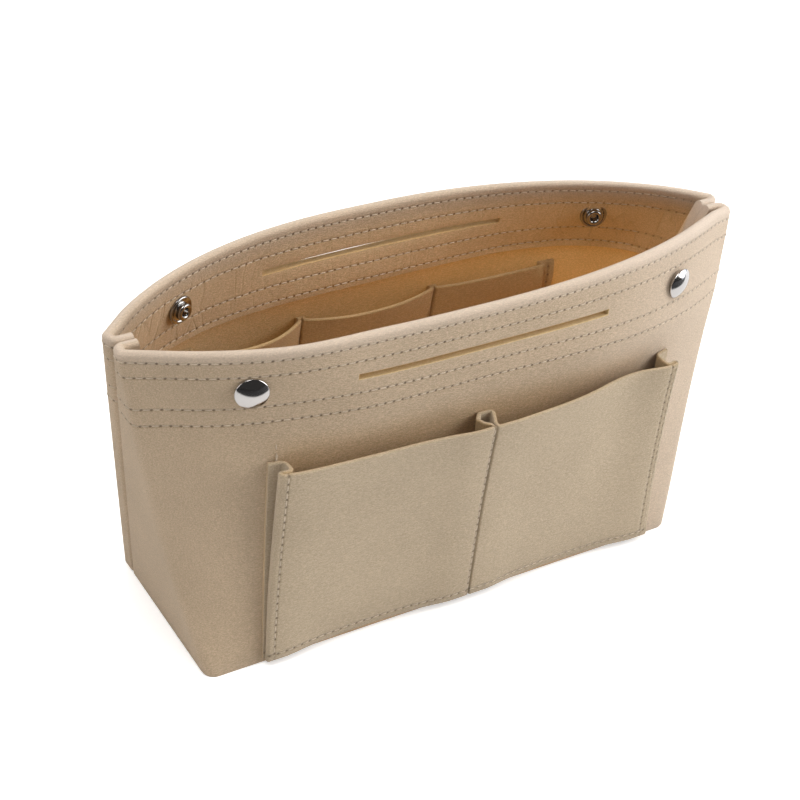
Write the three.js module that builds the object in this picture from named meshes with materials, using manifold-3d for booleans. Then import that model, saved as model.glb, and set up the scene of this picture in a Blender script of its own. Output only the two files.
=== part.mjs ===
// Purse organizer insert: a soft felt box with a lens-shaped rim, pleated pockets and four press snaps.
// Millimetres, +Z up. The origin is the middle of the underside, the long walls run along X and the
// front wall, which carries the two outer pockets, faces -Y.
import * as THREE from "three";
import { mergeVertices } from "three/addons/utils/BufferGeometryUtils.js";
import Module from "manifold-3d";

const wasm = await Module();
wasm.setup();

// Felt and the sewn box
const feltThickness = 2.15;
const feltHeight = 146.6;
const baseLength = 229;
const baseWidth = 79;
const rimLength = 281;
const rimFrontWidth = 39.3;
const rimRearWidth = 43.2;
const rimEndWidth = 7;
const frontBow = -2.5;
const rearBow = 10;
const frontCurvePower = 3.4;
const rearCurvePower = 3.2;
const rearWrapWidth = 8.6;

// Side seams: each wall turns inwards and ends in a fin that lies against the other wall's fin
const seamGap = 0.4;
const seamTurnRadius = 4.6;
const seamTurnFootRadius = 3.2;
const rimCornerRadius = 2.8;
const frontFootRadius = 8;
const rearFootRadius = 3.5;
const finDepth = 10;
const finFootDepth = 5;

// Hem turned to the inside
const hemThickness = 4.2;
const hemDepth = 37.8;
const hemStep = 0.1;

// Hand slots through both long walls
const slotLength = 114;
const slotHeight = 3.2;
const slotDrop = 19;

// Clearances between sewn and riveted pieces
const sewnGap = 0.3;
const creaseGap = 0.35;
const innerGap = 0.45;
const notchGap = 0.6;
const smallestRadius = 0.15;

// Base panel
const baseCornerRadius = 6;
const baseCornerRelief = 0.6;
const baseReliefLength = 30;

// Outer pocket strip, felt folded into one pleat at each end and one between the two pockets
const outerFoot = 2.5;
const outerTop = 95.5;
const outerFlangeLeft = -90.5;
const outerBendLeft = -83.2;
const outerFoldLeft = -90.2;
const outerFoldLeftFoot = -89;
const outerFlangeRight = 98.6;
const outerBendRight = 91.3;
const outerFoldRight = 97.5;
const outerFoldRightFoot = 101.5;
const outerMiddle = 2;
const outerMiddleFoot = 6.8;
const outerMiddleHalfGap = 0.9;
const outerLeftStand = 10;
const outerMiddleStand = 12;
const outerRightStand = 12;
const outerLeftFaceStand = 9;
const outerRightFaceStand = 10;
const pressedThickness = 1;
const bendPinch = 0.25;
const bendRadius = 1.3;
const foldRadius = 2.1;
const middleBulge = 1.8;
const middleTipBulge = 2.5;
const middleWallBulge = 0.7;
const middleSpread = 3.1;
const middleCornerRadius = 0.5;

// Inner pocket strip on the rear wall
const innerFoot = 9;
const innerTop = 95.5;
const innerTopRise = 5;
const innerEdgeLeft = -88.5;
const innerEdgeRight = 88.5;
const innerDivideLeft = -33.5;
const innerDivideRight = 34.5;
const innerDivideHalfGap = 0.9;
const innerFlange = 5;
const innerEndStand = 7.2;
const innerLeftStand = 12;
const innerMiddleStand = 12.2;
const innerRightStand = 10.4;
const innerEndFootStand = 4.05;

// Press snaps
const snapReach = 99.7;
const snapDrop = 18.6;
const capRadius = 6.5;
const capHeight = 2.6;
const capRimHeight = 0.9;
const capEdge = 0.35;
const postRadius = 1.7;
const plateBore = 1.95;
const plateThickness = 0.8;
const postProud = 0.15;
const socketRadius = 6;
const socketHeight = 3.3;
const socketChamfer = 0.6;
const socketRecess = 3.35;
const socketMouth = 3.9;
const springWire = 0.3;
const springInnerRadius = 3.15;
const springHeight = 2.05;
const springGap = 0.3;
const studFlangeRadius = 5.5;
const studHeight = 3.4;
const studNeckRadius = 2.6;
const studHeadRadius = 3.1;
const studHeadHeight = 0.9;
const studTipInset = 0.4;

// Counts, angles and shares of the curves
const faceShares = [0.925, 0.86, 0.79, 0.7267, 0.65, 0.56, 0.46, 0.35, 0.23, 0.115];
const bodyRowShares = [0, 0.1, 0.2, 0.31, 0.42, 0.53, 0.64];
const hemRowShares = [1, 0.68, 0.36];
const rimRowAngles = [0, 35, 62, 80];
const turnSteps = 4;
const foldSteps = 3;
const pocketRows = 8;
const columnShares = [0.115, 0.2, 0.3, 0.4, 0.5, 0.6, 0.7, 0.8, 0.885];
const faceEndPower = 2.5;
const faceEndShare = 0.77;
const latheSteps = 32;
const domeSteps = 7;
const springSteps = 30;
const springSides = 3;
const springOpenShare = 0.08;
const middleCurlShares = { start: 1, straight: 0.845, waist: 0.59, tip: 0.305, mouth: 0.82 };
const derivativeShare = 0.0005;

const slantedRise = (drop) => Math.sqrt(feltHeight ** 2 - drop ** 2);
const mix = THREE.MathUtils.lerp;

// Materials
const paint = (name, color, roughness, metalness) =>
  new THREE.MeshStandardMaterial({ name, color, roughness, metalness });
const wallFelt = paint("wall_felt", 0xad9c80, 0.95, 0);
const pocketFelt = paint("pocket_felt", 0xb8a98e, 0.95, 0);
const chrome = paint("chrome", 0xd8d8da, 0.14, 1);
const springSteel = paint("spring_steel", 0x8f9092, 0.3, 1);

// A corner of a walk seen from above: the felt's outer side is on the right of the walk
const corner = (x, y, radius = 0, steps = 0) => ({ x, y, radius, steps });

function unitBetween(from, to) {
  return new THREE.Vector2(to.x - from.x, to.y - from.y).normalize();
}

// The same walk moved to its left, so that outside corners open and inside corners tighten
function offsetWalk(corners, distance) {
  return corners.map((point, i) => {
    const incoming = i > 0 ? unitBetween(corners[i - 1], point) : unitBetween(point, corners[i + 1]);
    const outgoing = i < corners.length - 1 ? unitBetween(point, corners[i + 1]) : incoming;
    const first = new THREE.Vector2(-incoming.y, incoming.x);
    const second = new THREE.Vector2(-outgoing.y, outgoing.x);
    const reach = distance / (1 + first.dot(second));
    const leftTurn = incoming.cross(outgoing) > 0;
    const radius = leftTurn ? point.radius - distance : point.radius + distance;
    return {
      ...point,
      x: point.x + (first.x + second.x) * reach,
      y: point.y + (first.y + second.y) * reach,
      radius: point.steps ? Math.max(radius, smallestRadius) : 0,
    };
  });
}

// Points along a walk, with each rounded corner replaced by its arc
function stations(corners) {
  const points = [];
  corners.forEach((point, i) => {
    if (!point.steps) {
      points.push([point.x, point.y, point.top]);
      return;
    }
    const back = unitBetween(point, corners[i - 1]);
    const ahead = unitBetween(point, corners[i + 1]);
    const half = Math.acos(THREE.MathUtils.clamp(back.dot(ahead), -1, 1)) / 2;
    const bisector = back.clone().add(ahead).normalize();
    const centre = bisector.multiplyScalar(point.radius / Math.sin(half));
    const start = back.clone().multiplyScalar(point.radius / Math.tan(half)).sub(centre);
    const sweep = (Math.PI - 2 * half) * Math.sign(ahead.cross(back));
    for (let k = 0; k <= point.steps; k++) {
      const arm = start.clone().rotateAround(new THREE.Vector2(), (sweep * k) / point.steps);
      points.push([point.x + centre.x + arm.x, point.y + centre.y + arm.y, point.top]);
    }
  });
  return points;
}

// A closed felt sheet from rows of outer and inner points: a box whose grid is bent onto the rows
function sheet(rows) {
  const columns = rows[0].outer.length - 1;
  const levels = rows.length - 1;
  const side = 1;
  const geometry = new THREE.BoxGeometry(side, side, side, columns, levels, 1);
  geometry.deleteAttribute("normal");
  geometry.deleteAttribute("uv");
  const position = geometry.attributes.position;
  for (let i = 0; i < position.count; i++) {
    const column = Math.round((position.getX(i) + side / 2) * columns);
    const level = Math.round((position.getY(i) + side / 2) * levels);
    const row = rows[level];
    const point = position.getZ(i) > 0 ? row.outer[column] : row.inner[column];
    position.setXYZ(i, point[0], point[1], point[2]);
  }
  return mergeVertices(geometry, sewnGap / 1000);
}

// Booleans
function solid(geometry) {
  const bare = geometry.clone();
  bare.deleteAttribute("normal");
  bare.deleteAttribute("uv");
  const merged = mergeVertices(bare, sewnGap / 1000);
  return new wasm.Manifold(
    new wasm.Mesh({
      numProp: 3,
      vertProperties: new Float32Array(merged.attributes.position.array),
      triVerts: new Uint32Array(merged.index.array),
    }),
  );
}

function geometryOf(body) {
  const mesh = body.getMesh();
  const geometry = new THREE.BufferGeometry();
  geometry.setAttribute("position", new THREE.BufferAttribute(mesh.vertProperties, 3));
  geometry.setIndex(new THREE.BufferAttribute(mesh.triVerts, 1));
  geometry.computeVertexNormals();
  return geometry;
}

function cut(geometry, tools) {
  let body = solid(geometry);
  for (const tool of tools) body = body.subtract(solid(tool));
  return geometryOf(body);
}

// The two long walls. Each is drawn as a front wall, and the rear one is then turned half a circle.
const front = {
  halfWidth: rimFrontWidth,
  power: frontCurvePower,
  bow: frontBow,
  footRadius: frontFootRadius,
  footSeam: baseWidth / 2 - rearWrapWidth - seamGap / 2,
  rimSeam: -seamGap / 2,
};
const rear = {
  halfWidth: rimRearWidth,
  power: rearCurvePower,
  bow: rearBow,
  footRadius: rearFootRadius,
  footSeam: -(baseWidth / 2 - rearWrapWidth) - seamGap / 2,
  rimSeam: -seamGap / 2,
};

const halfLength = (share) => mix(baseLength, rimLength, share) / 2;

function rimWidth(wall, along) {
  return rimEndWidth + (wall.halfWidth - rimEndWidth) * (1 - Math.abs(along) ** wall.power);
}

const rimTop = (wall, along) => slantedRise(baseWidth / 2 - rimWidth(wall, along));

function wallWidth(wall, along, share) {
  const bulge = wall.bow * Math.sin(Math.PI * share) * (1 - along ** 2);
  return mix(baseWidth / 2, rimWidth(wall, along), share) + bulge;
}

function wallCorners(wall, share) {
  const reach = halfLength(share);
  const seam = mix(wall.footSeam, wall.rimSeam, share);
  const fin = mix(finFootDepth, finDepth, share);
  const endWidth = mix(baseWidth / 2, rimEndWidth, share);
  const seamRadius = mix(seamTurnFootRadius, seamTurnRadius, share);
  const cornerRadius = mix(wall.footRadius, rimCornerRadius, share);
  const top = rimTop(wall, 1);
  const leftEnd = [
    corner(-reach + fin, seam),
    corner(-reach, seam, seamRadius, turnSteps),
    corner(-reach, -endWidth, cornerRadius, turnSteps),
  ].map((point) => ({ ...point, top }));
  const rightEnd = leftEnd.map((point) => ({ ...point, x: -point.x })).reverse();
  const alongs = [...faceShares.map((value) => -value), 0, ...[...faceShares].reverse()];
  const face = alongs.map((along) => ({
    ...corner(along * reach, -wallWidth(wall, along, share)),
    top: rimTop(wall, along),
  }));
  return [...leftEnd, ...face, ...rightEnd];
}

// One row of a wall at a drop below the rim, between an outside and an inside distance in the felt
function wallRow(wall, drop, outside, inside) {
  const share = 1 - drop / feltHeight;
  const corners = wallCorners(wall, share);
  const lift = ([x, y, top]) => [x, y, top * share];
  return {
    outer: stations(offsetWalk(corners, outside)).map(lift),
    inner: stations(offsetWalk(corners, inside)).map(lift),
  };
}

function wallRows(wall) {
  const body = bodyRowShares.map((share) => wallRow(wall, feltHeight * (1 - share), 0, feltThickness));
  const edge = wallRow(wall, hemDepth + hemStep, 0, feltThickness);
  const hem = hemRowShares.map((share) => wallRow(wall, hemDepth * share, 0, hemThickness));
  const rim = rimRowAngles.map((degrees) => {
    const angle = THREE.MathUtils.degToRad(degrees);
    const rounding = (hemThickness / 2) * (1 - Math.cos(angle));
    const drop = (hemThickness / 2) * (1 - Math.sin(angle));
    return wallRow(wall, drop, rounding, hemThickness - rounding);
  });
  return [...body, edge, ...hem, ...rim];
}

function turnedRow(row) {
  const turnPoint = ([x, y, z]) => [-x, -y, z];
  return { outer: row.outer.map(turnPoint), inner: row.inner.map(turnPoint) };
}

// A point on a wall's outer side, drawn as a front wall
function wallPoint(wall, along, drop) {
  const share = 1 - drop / feltHeight;
  return new THREE.Vector3(
    along * halfLength(share),
    -wallWidth(wall, along, share),
    rimTop(wall, along) * share,
  );
}

// Where a snap sits on its wall: the point on the outer side and the direction out of the felt
function snapSeat(wall, sideSign) {
  const share = 1 - snapDrop / feltHeight;
  const along = (sideSign * snapReach) / halfLength(share);
  const small = derivativeShare * feltHeight;
  const point = wallPoint(wall, along, snapDrop);
  const across = wallPoint(wall, along + derivativeShare, snapDrop).sub(point);
  const up = wallPoint(wall, along, snapDrop - small).sub(point);
  return { point, outward: across.cross(up).normalize() };
}

function turnedSeat(seat) {
  const half = new THREE.Vector3(-1, -1, 1);
  return { point: seat.point.clone().multiply(half), outward: seat.outward.clone().multiply(half) };
}

const seats = {
  front_left: snapSeat(front, -1),
  front_right: snapSeat(front, 1),
  rear_left: turnedSeat(snapSeat(rear, 1)),
  rear_right: turnedSeat(snapSeat(rear, -1)),
};

function aimed(geometry, seat) {
  const up = new THREE.Vector3(0, 1, 0);
  geometry.applyQuaternion(new THREE.Quaternion().setFromUnitVectors(up, seat.outward));
  geometry.translate(seat.point.x, seat.point.y, seat.point.z);
  return geometry;
}

function snapHole(seat) {
  const length = 4 * hemThickness;
  return aimed(new THREE.CylinderGeometry(plateBore, plateBore, length, latheSteps), seat);
}

function slotTool(wall, sideSign) {
  const centre = wallPoint(wall, 0, slotDrop);
  const radius = slotHeight / 2;
  const straight = slotLength / 2 - radius;
  const shape = new THREE.Shape();
  shape.absarc(-straight, 0, radius, Math.PI / 2, (3 * Math.PI) / 2);
  shape.absarc(straight, 0, radius, -Math.PI / 2, Math.PI / 2);
  const depth = 6 * hemThickness;
  const geometry = new THREE.ExtrudeGeometry(shape, { depth, bevelEnabled: false, curveSegments: latheSteps / 4 });
  geometry.translate(0, 0, -depth / 2);
  geometry.rotateX(Math.PI / 2);
  geometry.translate(0, sideSign * centre.y, centre.z);
  return geometry;
}

function frontPanel() {
  const tools = [slotTool(front, 1), snapHole(seats.front_left), snapHole(seats.front_right)];
  return cut(sheet(wallRows(front)), tools);
}

function rearPanel() {
  const tools = [slotTool(rear, -1), snapHole(seats.rear_left), snapHole(seats.rear_right)];
  return cut(sheet(wallRows(rear).map(turnedRow)), tools);
}

// Base panel: a flat felt rectangle inside the walls, notched for the feet of the side seams
function basePanel() {
  const halfX = baseLength / 2 - feltThickness - sewnGap;
  const halfY = baseWidth / 2 - feltThickness - sewnGap;
  const waistX = halfX - baseReliefLength;
  const endY = halfY - baseCornerRelief;
  const quarter = [
    { x: waistX, y: halfY, rounded: false },
    { x: halfX, y: endY, rounded: true },
  ];
  const loop = [
    ...quarter.map((p) => ({ ...p, y: -p.y })),
    ...[...quarter].reverse(),
    ...quarter.map((p) => ({ ...p, x: -p.x })),
    ...[...quarter].reverse().map((p) => ({ ...p, x: -p.x, y: -p.y })),
  ];
  const corners = loop.map((p) => corner(p.x, p.y, p.rounded ? baseCornerRadius : 0, p.rounded ? turnSteps : 0));
  const ring = stations(corners);
  const shape = new THREE.Shape(ring.map(([x, y]) => new THREE.Vector2(x, y)));
  const plate = new THREE.ExtrudeGeometry(shape, { depth: feltThickness, bevelEnabled: false });
  const notchWidth = seamGap + 2 * (feltThickness + notchGap);
  const notchDepth = finFootDepth + notchGap;
  const notches = [-1, 1].map((sign) => {
    const notch = new THREE.BoxGeometry(2 * notchDepth, notchWidth, 4 * feltThickness);
    notch.translate((sign * baseLength) / 2, baseWidth / 2 - rearWrapWidth, 0);
    return notch;
  });
  return cut(plate, notches);
}

// Pockets are drawn against their wall: x along it, and a negative distance for what stands off it
function shareAtHeight(wall, x, z) {
  let along = x / halfLength(z / feltHeight);
  for (let i = 0; i < 3; i++) along = x / halfLength(z / rimTop(wall, along));
  return { along, share: z / rimTop(wall, along) };
}

function frontSurface(x, z) {
  const { along, share } = shareAtHeight(front, x, z);
  return -wallWidth(front, along, share);
}

function rearInnerSurface(x, z) {
  const { along, share } = shareAtHeight(rear, -x, z);
  return wallWidth(rear, along, share) - feltThickness;
}

function innerTopAt(x) {
  return innerTop + innerTopRise * (x / innerEdgeRight) ** 2;
}

const outerPocket = {
  surface: frontSurface,
  height: (x, share) => mix(outerFoot, outerTop, share),
};
const innerPocket = {
  surface: rearInnerSurface,
  height: (x, share) => mix(innerFoot, innerTopAt(x), share),
};

function pocketSheet(pocket, cornersAt, thicknessAt) {
  const rows = [];
  for (let k = 0; k <= pocketRows; k++) {
    const share = k / pocketRows;
    const corners = cornersAt(share);
    const lift = ([x, away]) => {
      const z = pocket.height(x, share);
      return [x, pocket.surface(x, z) + away, z];
    };
    rows.push({
      outer: stations(corners).map(lift),
      inner: stations(offsetWalk(corners, thicknessAt(share))).map(lift),
    });
  }
  return sheet(rows);
}

// A pocket face between its two folds; the stand-off is a share of its length from either end
function pocketFace(pocket, span) {
  const cornersAt = (share) => {
    const left = mix(span.leftFoot, span.left, share);
    const right = mix(span.rightFoot, span.right, share);
    const middle = mix(feltThickness + sewnGap, span.middleStand, share);
    const leftStand = mix(span.footStand, span.leftStand, share);
    const rightStand = mix(span.footStand, span.rightStand, share);
    const points = [corner(left, foldRadius - leftStand), corner(left, -leftStand, foldRadius, foldSteps)];
    for (const column of columnShares) {
      const along = 2 * column - 1;
      const end = along < 0 ? leftStand : rightStand;
      const rise = Math.min(1, Math.abs(along) / faceEndShare) ** faceEndPower;
      points.push(corner(mix(left, right, column), -mix(middle, end, rise)));
    }
    points.push(corner(right, -rightStand, foldRadius, foldSteps), corner(right, foldRadius - rightStand));
    return points;
  };
  return pocketSheet(pocket, cornersAt, () => feltThickness);
}

// The end pleats: along the wall, round a bend, and back to the fold that starts the face
const pleatStack = 2 * sewnGap + creaseGap + feltThickness;
const endFootStand = pleatStack + 2 * pressedThickness;

function endPleatThickness(stand) {
  return Math.min(feltThickness, (stand - pleatStack) / 2);
}

function endPleat(side) {
  const stand = (share) => mix(endFootStand, side.stand, share);
  const cornersAt = (share) => {
    const thickness = endPleatThickness(stand(share));
    const onWall = -(sewnGap + thickness);
    const back = feltThickness + creaseGap + thickness - stand(share);
    const radius = Math.min(bendRadius, ((onWall - back) / 2) * (1 - bendPinch));
    const bend = side.sign * side.bend - thickness;
    const fold = side.sign * mix(side.foldFoot, side.fold, share);
    const points = [
      corner(side.sign * side.flange, onWall),
      corner(bend, onWall, radius, foldSteps),
      corner(bend, back, radius, foldSteps),
      corner(fold, back),
    ];
    return points;
  };
  return pocketSheet(side.mirrored(outerPocket), cornersAt, (share) => endPleatThickness(stand(share)));
}

const asDrawn = (pocket) => pocket;
const mirroredPocket = (pocket) => ({
  surface: (x, z) => pocket.surface(-x, z),
  height: (x, share) => pocket.height(-x, share),
});

function mirrorX(geometry) {
  const flipped = geometry.toNonIndexed();
  flipped.scale(-1, 1, 1);
  const position = flipped.attributes.position;
  const swapped = new Float32Array(position.array);
  for (let i = 0; i < position.count; i += 3) {
    for (let k = 0; k < 3; k++) {
      swapped[3 * (i + 1) + k] = position.array[3 * (i + 2) + k];
      swapped[3 * (i + 2) + k] = position.array[3 * (i + 1) + k];
    }
  }
  const geometryOut = new THREE.BufferGeometry();
  geometryOut.setAttribute("position", new THREE.BufferAttribute(swapped, 3));
  return mergeVertices(geometryOut, sewnGap / 1000);
}

// The pleat between the two outer pockets: a curled leg, a seam on the wall and a slanting leg
function middleThickness(share) {
  return mix(pressedThickness, feltThickness, Math.min(1, share * pocketRows));
}

function middlePleat() {
  const cornersAt = (share) => {
    const middle = mix(outerMiddleFoot, outerMiddle, share);
    const onWall = -(sewnGap + middleThickness(share));
    const back = feltThickness + creaseGap - mix(endFootStand, outerMiddleStand, share);
    const curl = share ** 2;
    const left = middle - outerMiddleHalfGap;
    const right = middle + outerMiddleHalfGap;
    const away = (part) => mix(onWall, back, part);
    const wallRadius = smallestRadius + middleCornerRadius * curl;
    return [
      corner(left, away(middleCurlShares.start)),
      corner(left, away(middleCurlShares.straight)),
      corner(left - middleBulge * curl, away(middleCurlShares.waist)),
      corner(left - middleTipBulge * curl, away(middleCurlShares.tip)),
      corner(left - middleWallBulge * curl, onWall, wallRadius, foldSteps),
      corner(right + middleSpread * curl, onWall, middleCornerRadius, foldSteps),
      corner(right, away(middleCurlShares.mouth)),
      corner(right, away(middleCurlShares.start)),
    ];
  };
  return pocketSheet(outerPocket, cornersAt, middleThickness);
}

// Inner pleats: one at each end with a flange on the wall, and a narrow one at each divide
const innerStand = (share) => mix(innerEndFootStand, innerEndStand, share);
const innerBack = (share) => feltThickness + creaseGap - innerStand(share);

function innerThickness(share) {
  return mix(pressedThickness, feltThickness, Math.min(1, 2 * share));
}

function innerEndPleat(edge) {
  const cornersAt = (share) => {
    const onWall = -(innerGap + innerThickness(share));
    return [
      corner(edge, innerBack(share)),
      corner(edge, onWall, smallestRadius, foldSteps),
      corner(edge + innerFlange, onWall),
    ];
  };
  return pocketSheet(innerPocket, cornersAt, innerThickness);
}

function innerDividePleat(middle) {
  const cornersAt = (share) => {
    const onWall = -(innerGap + innerThickness(share));
    const left = middle - innerDivideHalfGap;
    const right = middle + innerDivideHalfGap;
    return [
      corner(left, innerBack(share)),
      corner(left, onWall, smallestRadius, foldSteps),
      corner(right, onWall, smallestRadius, foldSteps),
      corner(right, innerBack(share)),
    ];
  };
  return pocketSheet(innerPocket, cornersAt, innerThickness);
}

function innerFace(left, right, middleStand) {
  return pocketFace(innerPocket, {
    left,
    leftFoot: left,
    right,
    rightFoot: right,
    footStand: innerEndFootStand,
    leftStand: innerEndStand,
    rightStand: innerEndStand,
    middleStand,
  });
}

// Snap hardware, turned about the snap's own axis: heights are measured out of the felt
const lathe = (profile) =>
  new THREE.LatheGeometry(profile.map(([radius, height]) => new THREE.Vector2(radius, height)), latheSteps);
const innerFelt = -hemThickness;
const plateOuter = innerFelt - creaseGap;
const plateInner = plateOuter - plateThickness;

function capGeometry() {
  const dome = [];
  for (let k = 0; k <= domeSteps; k++) {
    const angle = (Math.PI / 2) * (k / domeSteps);
    const height = capRimHeight + (capHeight - capRimHeight) * Math.sin(angle);
    dome.push([k < domeSteps ? capRadius * Math.cos(angle) : 0, height]);
  }
  const postEnd = plateInner - postProud;
  return lathe([
    [0, postEnd],
    [postRadius, postEnd],
    [postRadius, sewnGap],
    [capRadius - capEdge, sewnGap],
    ...dome,
  ]);
}

function socketGeometry() {
  const face = plateOuter - socketHeight;
  const springCentre = plateOuter - springHeight;
  const grooveHalf = springWire + springGap;
  const grooveRadius = springInnerRadius + 2 * springWire + springGap;
  return lathe([
    [plateBore, plateOuter],
    [plateBore, plateInner],
    [socketRecess, plateInner],
    [socketRecess, springCentre + grooveHalf],
    [grooveRadius, springCentre + grooveHalf],
    [grooveRadius, springCentre - grooveHalf],
    [socketRecess, springCentre - grooveHalf],
    [socketMouth, face],
    [socketRadius - socketChamfer, face],
    [socketRadius, face + socketChamfer],
    [socketRadius, plateOuter],
    [plateBore, plateOuter],
  ]);
}

function studGeometry() {
  const tip = plateOuter - studHeight;
  return lathe([
    [plateBore, plateOuter],
    [plateBore, tip],
    [studHeadRadius - studTipInset, tip],
    [studHeadRadius, tip + studTipInset],
    [studHeadRadius, tip + studHeadHeight],
    [studNeckRadius, tip + studHeadHeight + studTipInset],
    [studNeckRadius, plateInner],
    [studFlangeRadius, plateInner],
    [studFlangeRadius, plateOuter],
    [plateBore, plateOuter],
  ]);
}

class RingCurve extends THREE.Curve {
  constructor(radius, height) {
    super();
    this.radius = radius;
    this.height = height;
  }
  getPoint(share, target = new THREE.Vector3()) {
    const angle = 2 * Math.PI * mix(springOpenShare, 1, share);
    return target.set(this.radius * Math.cos(angle), this.height, this.radius * Math.sin(angle));
  }
}

function springGeometry() {
  const section = new THREE.Shape();
  section.absarc(0, 0, springWire, 0, 2 * Math.PI);
  const curve = new RingCurve(springInnerRadius + springWire, plateOuter - springHeight);
  return new THREE.ExtrudeGeometry(section, {
    steps: springSteps,
    extrudePath: curve,
    curveSegments: springSides,
    bevelEnabled: false,
  });
}

// Assembly
const organizer = new THREE.Group();
organizer.name = "purse_organizer_insert";

function addPiece(parent, name, geometry, material) {
  const mesh = new THREE.Mesh(geometry, material);
  mesh.name = name;
  parent.add(mesh);
}

function addWalls() {
  const walls = new THREE.Group();
  addPiece(walls, "front_panel", frontPanel(), wallFelt);
  addPiece(walls, "rear_panel", rearPanel(), wallFelt);
  addPiece(walls, "base_panel", basePanel(), wallFelt);
  organizer.add(walls);
}

function addOuterPockets() {
  const pockets = new THREE.Group();
  const leftFace = pocketFace(outerPocket, {
    left: outerFoldLeft,
    leftFoot: outerFoldLeftFoot,
    right: outerMiddle - outerMiddleHalfGap,
    rightFoot: outerMiddleFoot - outerMiddleHalfGap,
    footStand: endFootStand,
    leftStand: outerLeftStand,
    rightStand: outerMiddleStand,
    middleStand: outerLeftFaceStand,
  });
  const rightFace = pocketFace(outerPocket, {
    left: outerMiddle + outerMiddleHalfGap,
    leftFoot: outerMiddleFoot + outerMiddleHalfGap,
    right: outerFoldRight,
    rightFoot: outerFoldRightFoot,
    footStand: endFootStand,
    leftStand: outerMiddleStand,
    rightStand: outerRightStand,
    middleStand: outerRightFaceStand,
  });
  const leftPleat = endPleat({
    sign: 1,
    mirrored: asDrawn,
    flange: outerFlangeLeft,
    bend: outerBendLeft,
    fold: outerFoldLeft,
    foldFoot: outerFoldLeftFoot,
    stand: outerLeftStand,
  });
  const rightPleat = endPleat({
    sign: -1,
    mirrored: mirroredPocket,
    flange: outerFlangeRight,
    bend: outerBendRight,
    fold: outerFoldRight,
    foldFoot: outerFoldRightFoot,
    stand: outerRightStand,
  });
  addPiece(pockets, "outer_pocket_left_face", leftFace, pocketFelt);
  addPiece(pockets, "outer_pocket_right_face", rightFace, pocketFelt);
  addPiece(pockets, "outer_pocket_left_pleat", leftPleat, pocketFelt);
  addPiece(pockets, "outer_pocket_middle_pleat", middlePleat(), pocketFelt);
  addPiece(pockets, "outer_pocket_right_pleat", mirrorX(rightPleat), pocketFelt);
  organizer.add(pockets);
}

function addInnerPockets() {
  const pockets = new THREE.Group();
  const leftDivide = { before: innerDivideLeft - innerDivideHalfGap, after: innerDivideLeft + innerDivideHalfGap };
  const rightDivide = { before: innerDivideRight - innerDivideHalfGap, after: innerDivideRight + innerDivideHalfGap };
  addPiece(pockets, "inner_pocket_left_face", innerFace(innerEdgeLeft, leftDivide.before, innerLeftStand), pocketFelt);
  addPiece(pockets, "inner_pocket_middle_face", innerFace(leftDivide.after, rightDivide.before, innerMiddleStand), pocketFelt);
  addPiece(pockets, "inner_pocket_right_face", innerFace(rightDivide.after, innerEdgeRight, innerRightStand), pocketFelt);
  addPiece(pockets, "inner_pocket_left_divide", innerDividePleat(innerDivideLeft), pocketFelt);
  addPiece(pockets, "inner_pocket_right_divide", innerDividePleat(innerDivideRight), pocketFelt);
  addPiece(pockets, "inner_pocket_right_end", innerEndPleat(innerEdgeRight), pocketFelt);
  addPiece(pockets, "inner_pocket_left_end", innerLeftEnd(), pocketFelt);
  organizer.add(pockets);
}

function innerLeftEnd() {
  const cornersAt = (share) => {
    const onWall = -(innerGap + innerThickness(share));
    return [
      corner(innerEdgeLeft - innerFlange, onWall),
      corner(innerEdgeLeft, onWall, smallestRadius, foldSteps),
      corner(innerEdgeLeft, innerBack(share)),
    ];
  };
  return pocketSheet(innerPocket, cornersAt, innerThickness);
}

function addSnaps() {
  for (const side of ["left", "right"]) {
    const frontSnap = new THREE.Group();
    const rearSnap = new THREE.Group();
    const frontSeat = seats["front_" + side];
    const rearSeat = seats["rear_" + side];
    const up = new THREE.Vector3(0, 1, 0);
    frontSnap.position.copy(frontSeat.point);
    frontSnap.quaternion.setFromUnitVectors(up, frontSeat.outward);
    rearSnap.position.copy(rearSeat.point);
    rearSnap.quaternion.setFromUnitVectors(up, rearSeat.outward);
    frontSnap.name = "snap_front_" + side;
    rearSnap.name = "snap_rear_" + side;
    addPiece(frontSnap, "snap_cap_front_" + side, capGeometry(), chrome);
    addPiece(frontSnap, "snap_socket_" + side, socketGeometry(), chrome);
    addPiece(frontSnap, "snap_spring_" + side, springGeometry(), springSteel);
    addPiece(rearSnap, "snap_cap_rear_" + side, capGeometry(), chrome);
    addPiece(rearSnap, "snap_stud_" + side, studGeometry(), chrome);
    organizer.add(frontSnap, rearSnap);
  }
}

addWalls();
addOuterPockets();
addInnerPockets();
addSnaps();

export default organizer;
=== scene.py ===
import math

import bmesh
import bpy
from mathutils import Matrix, Vector, noise


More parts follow.
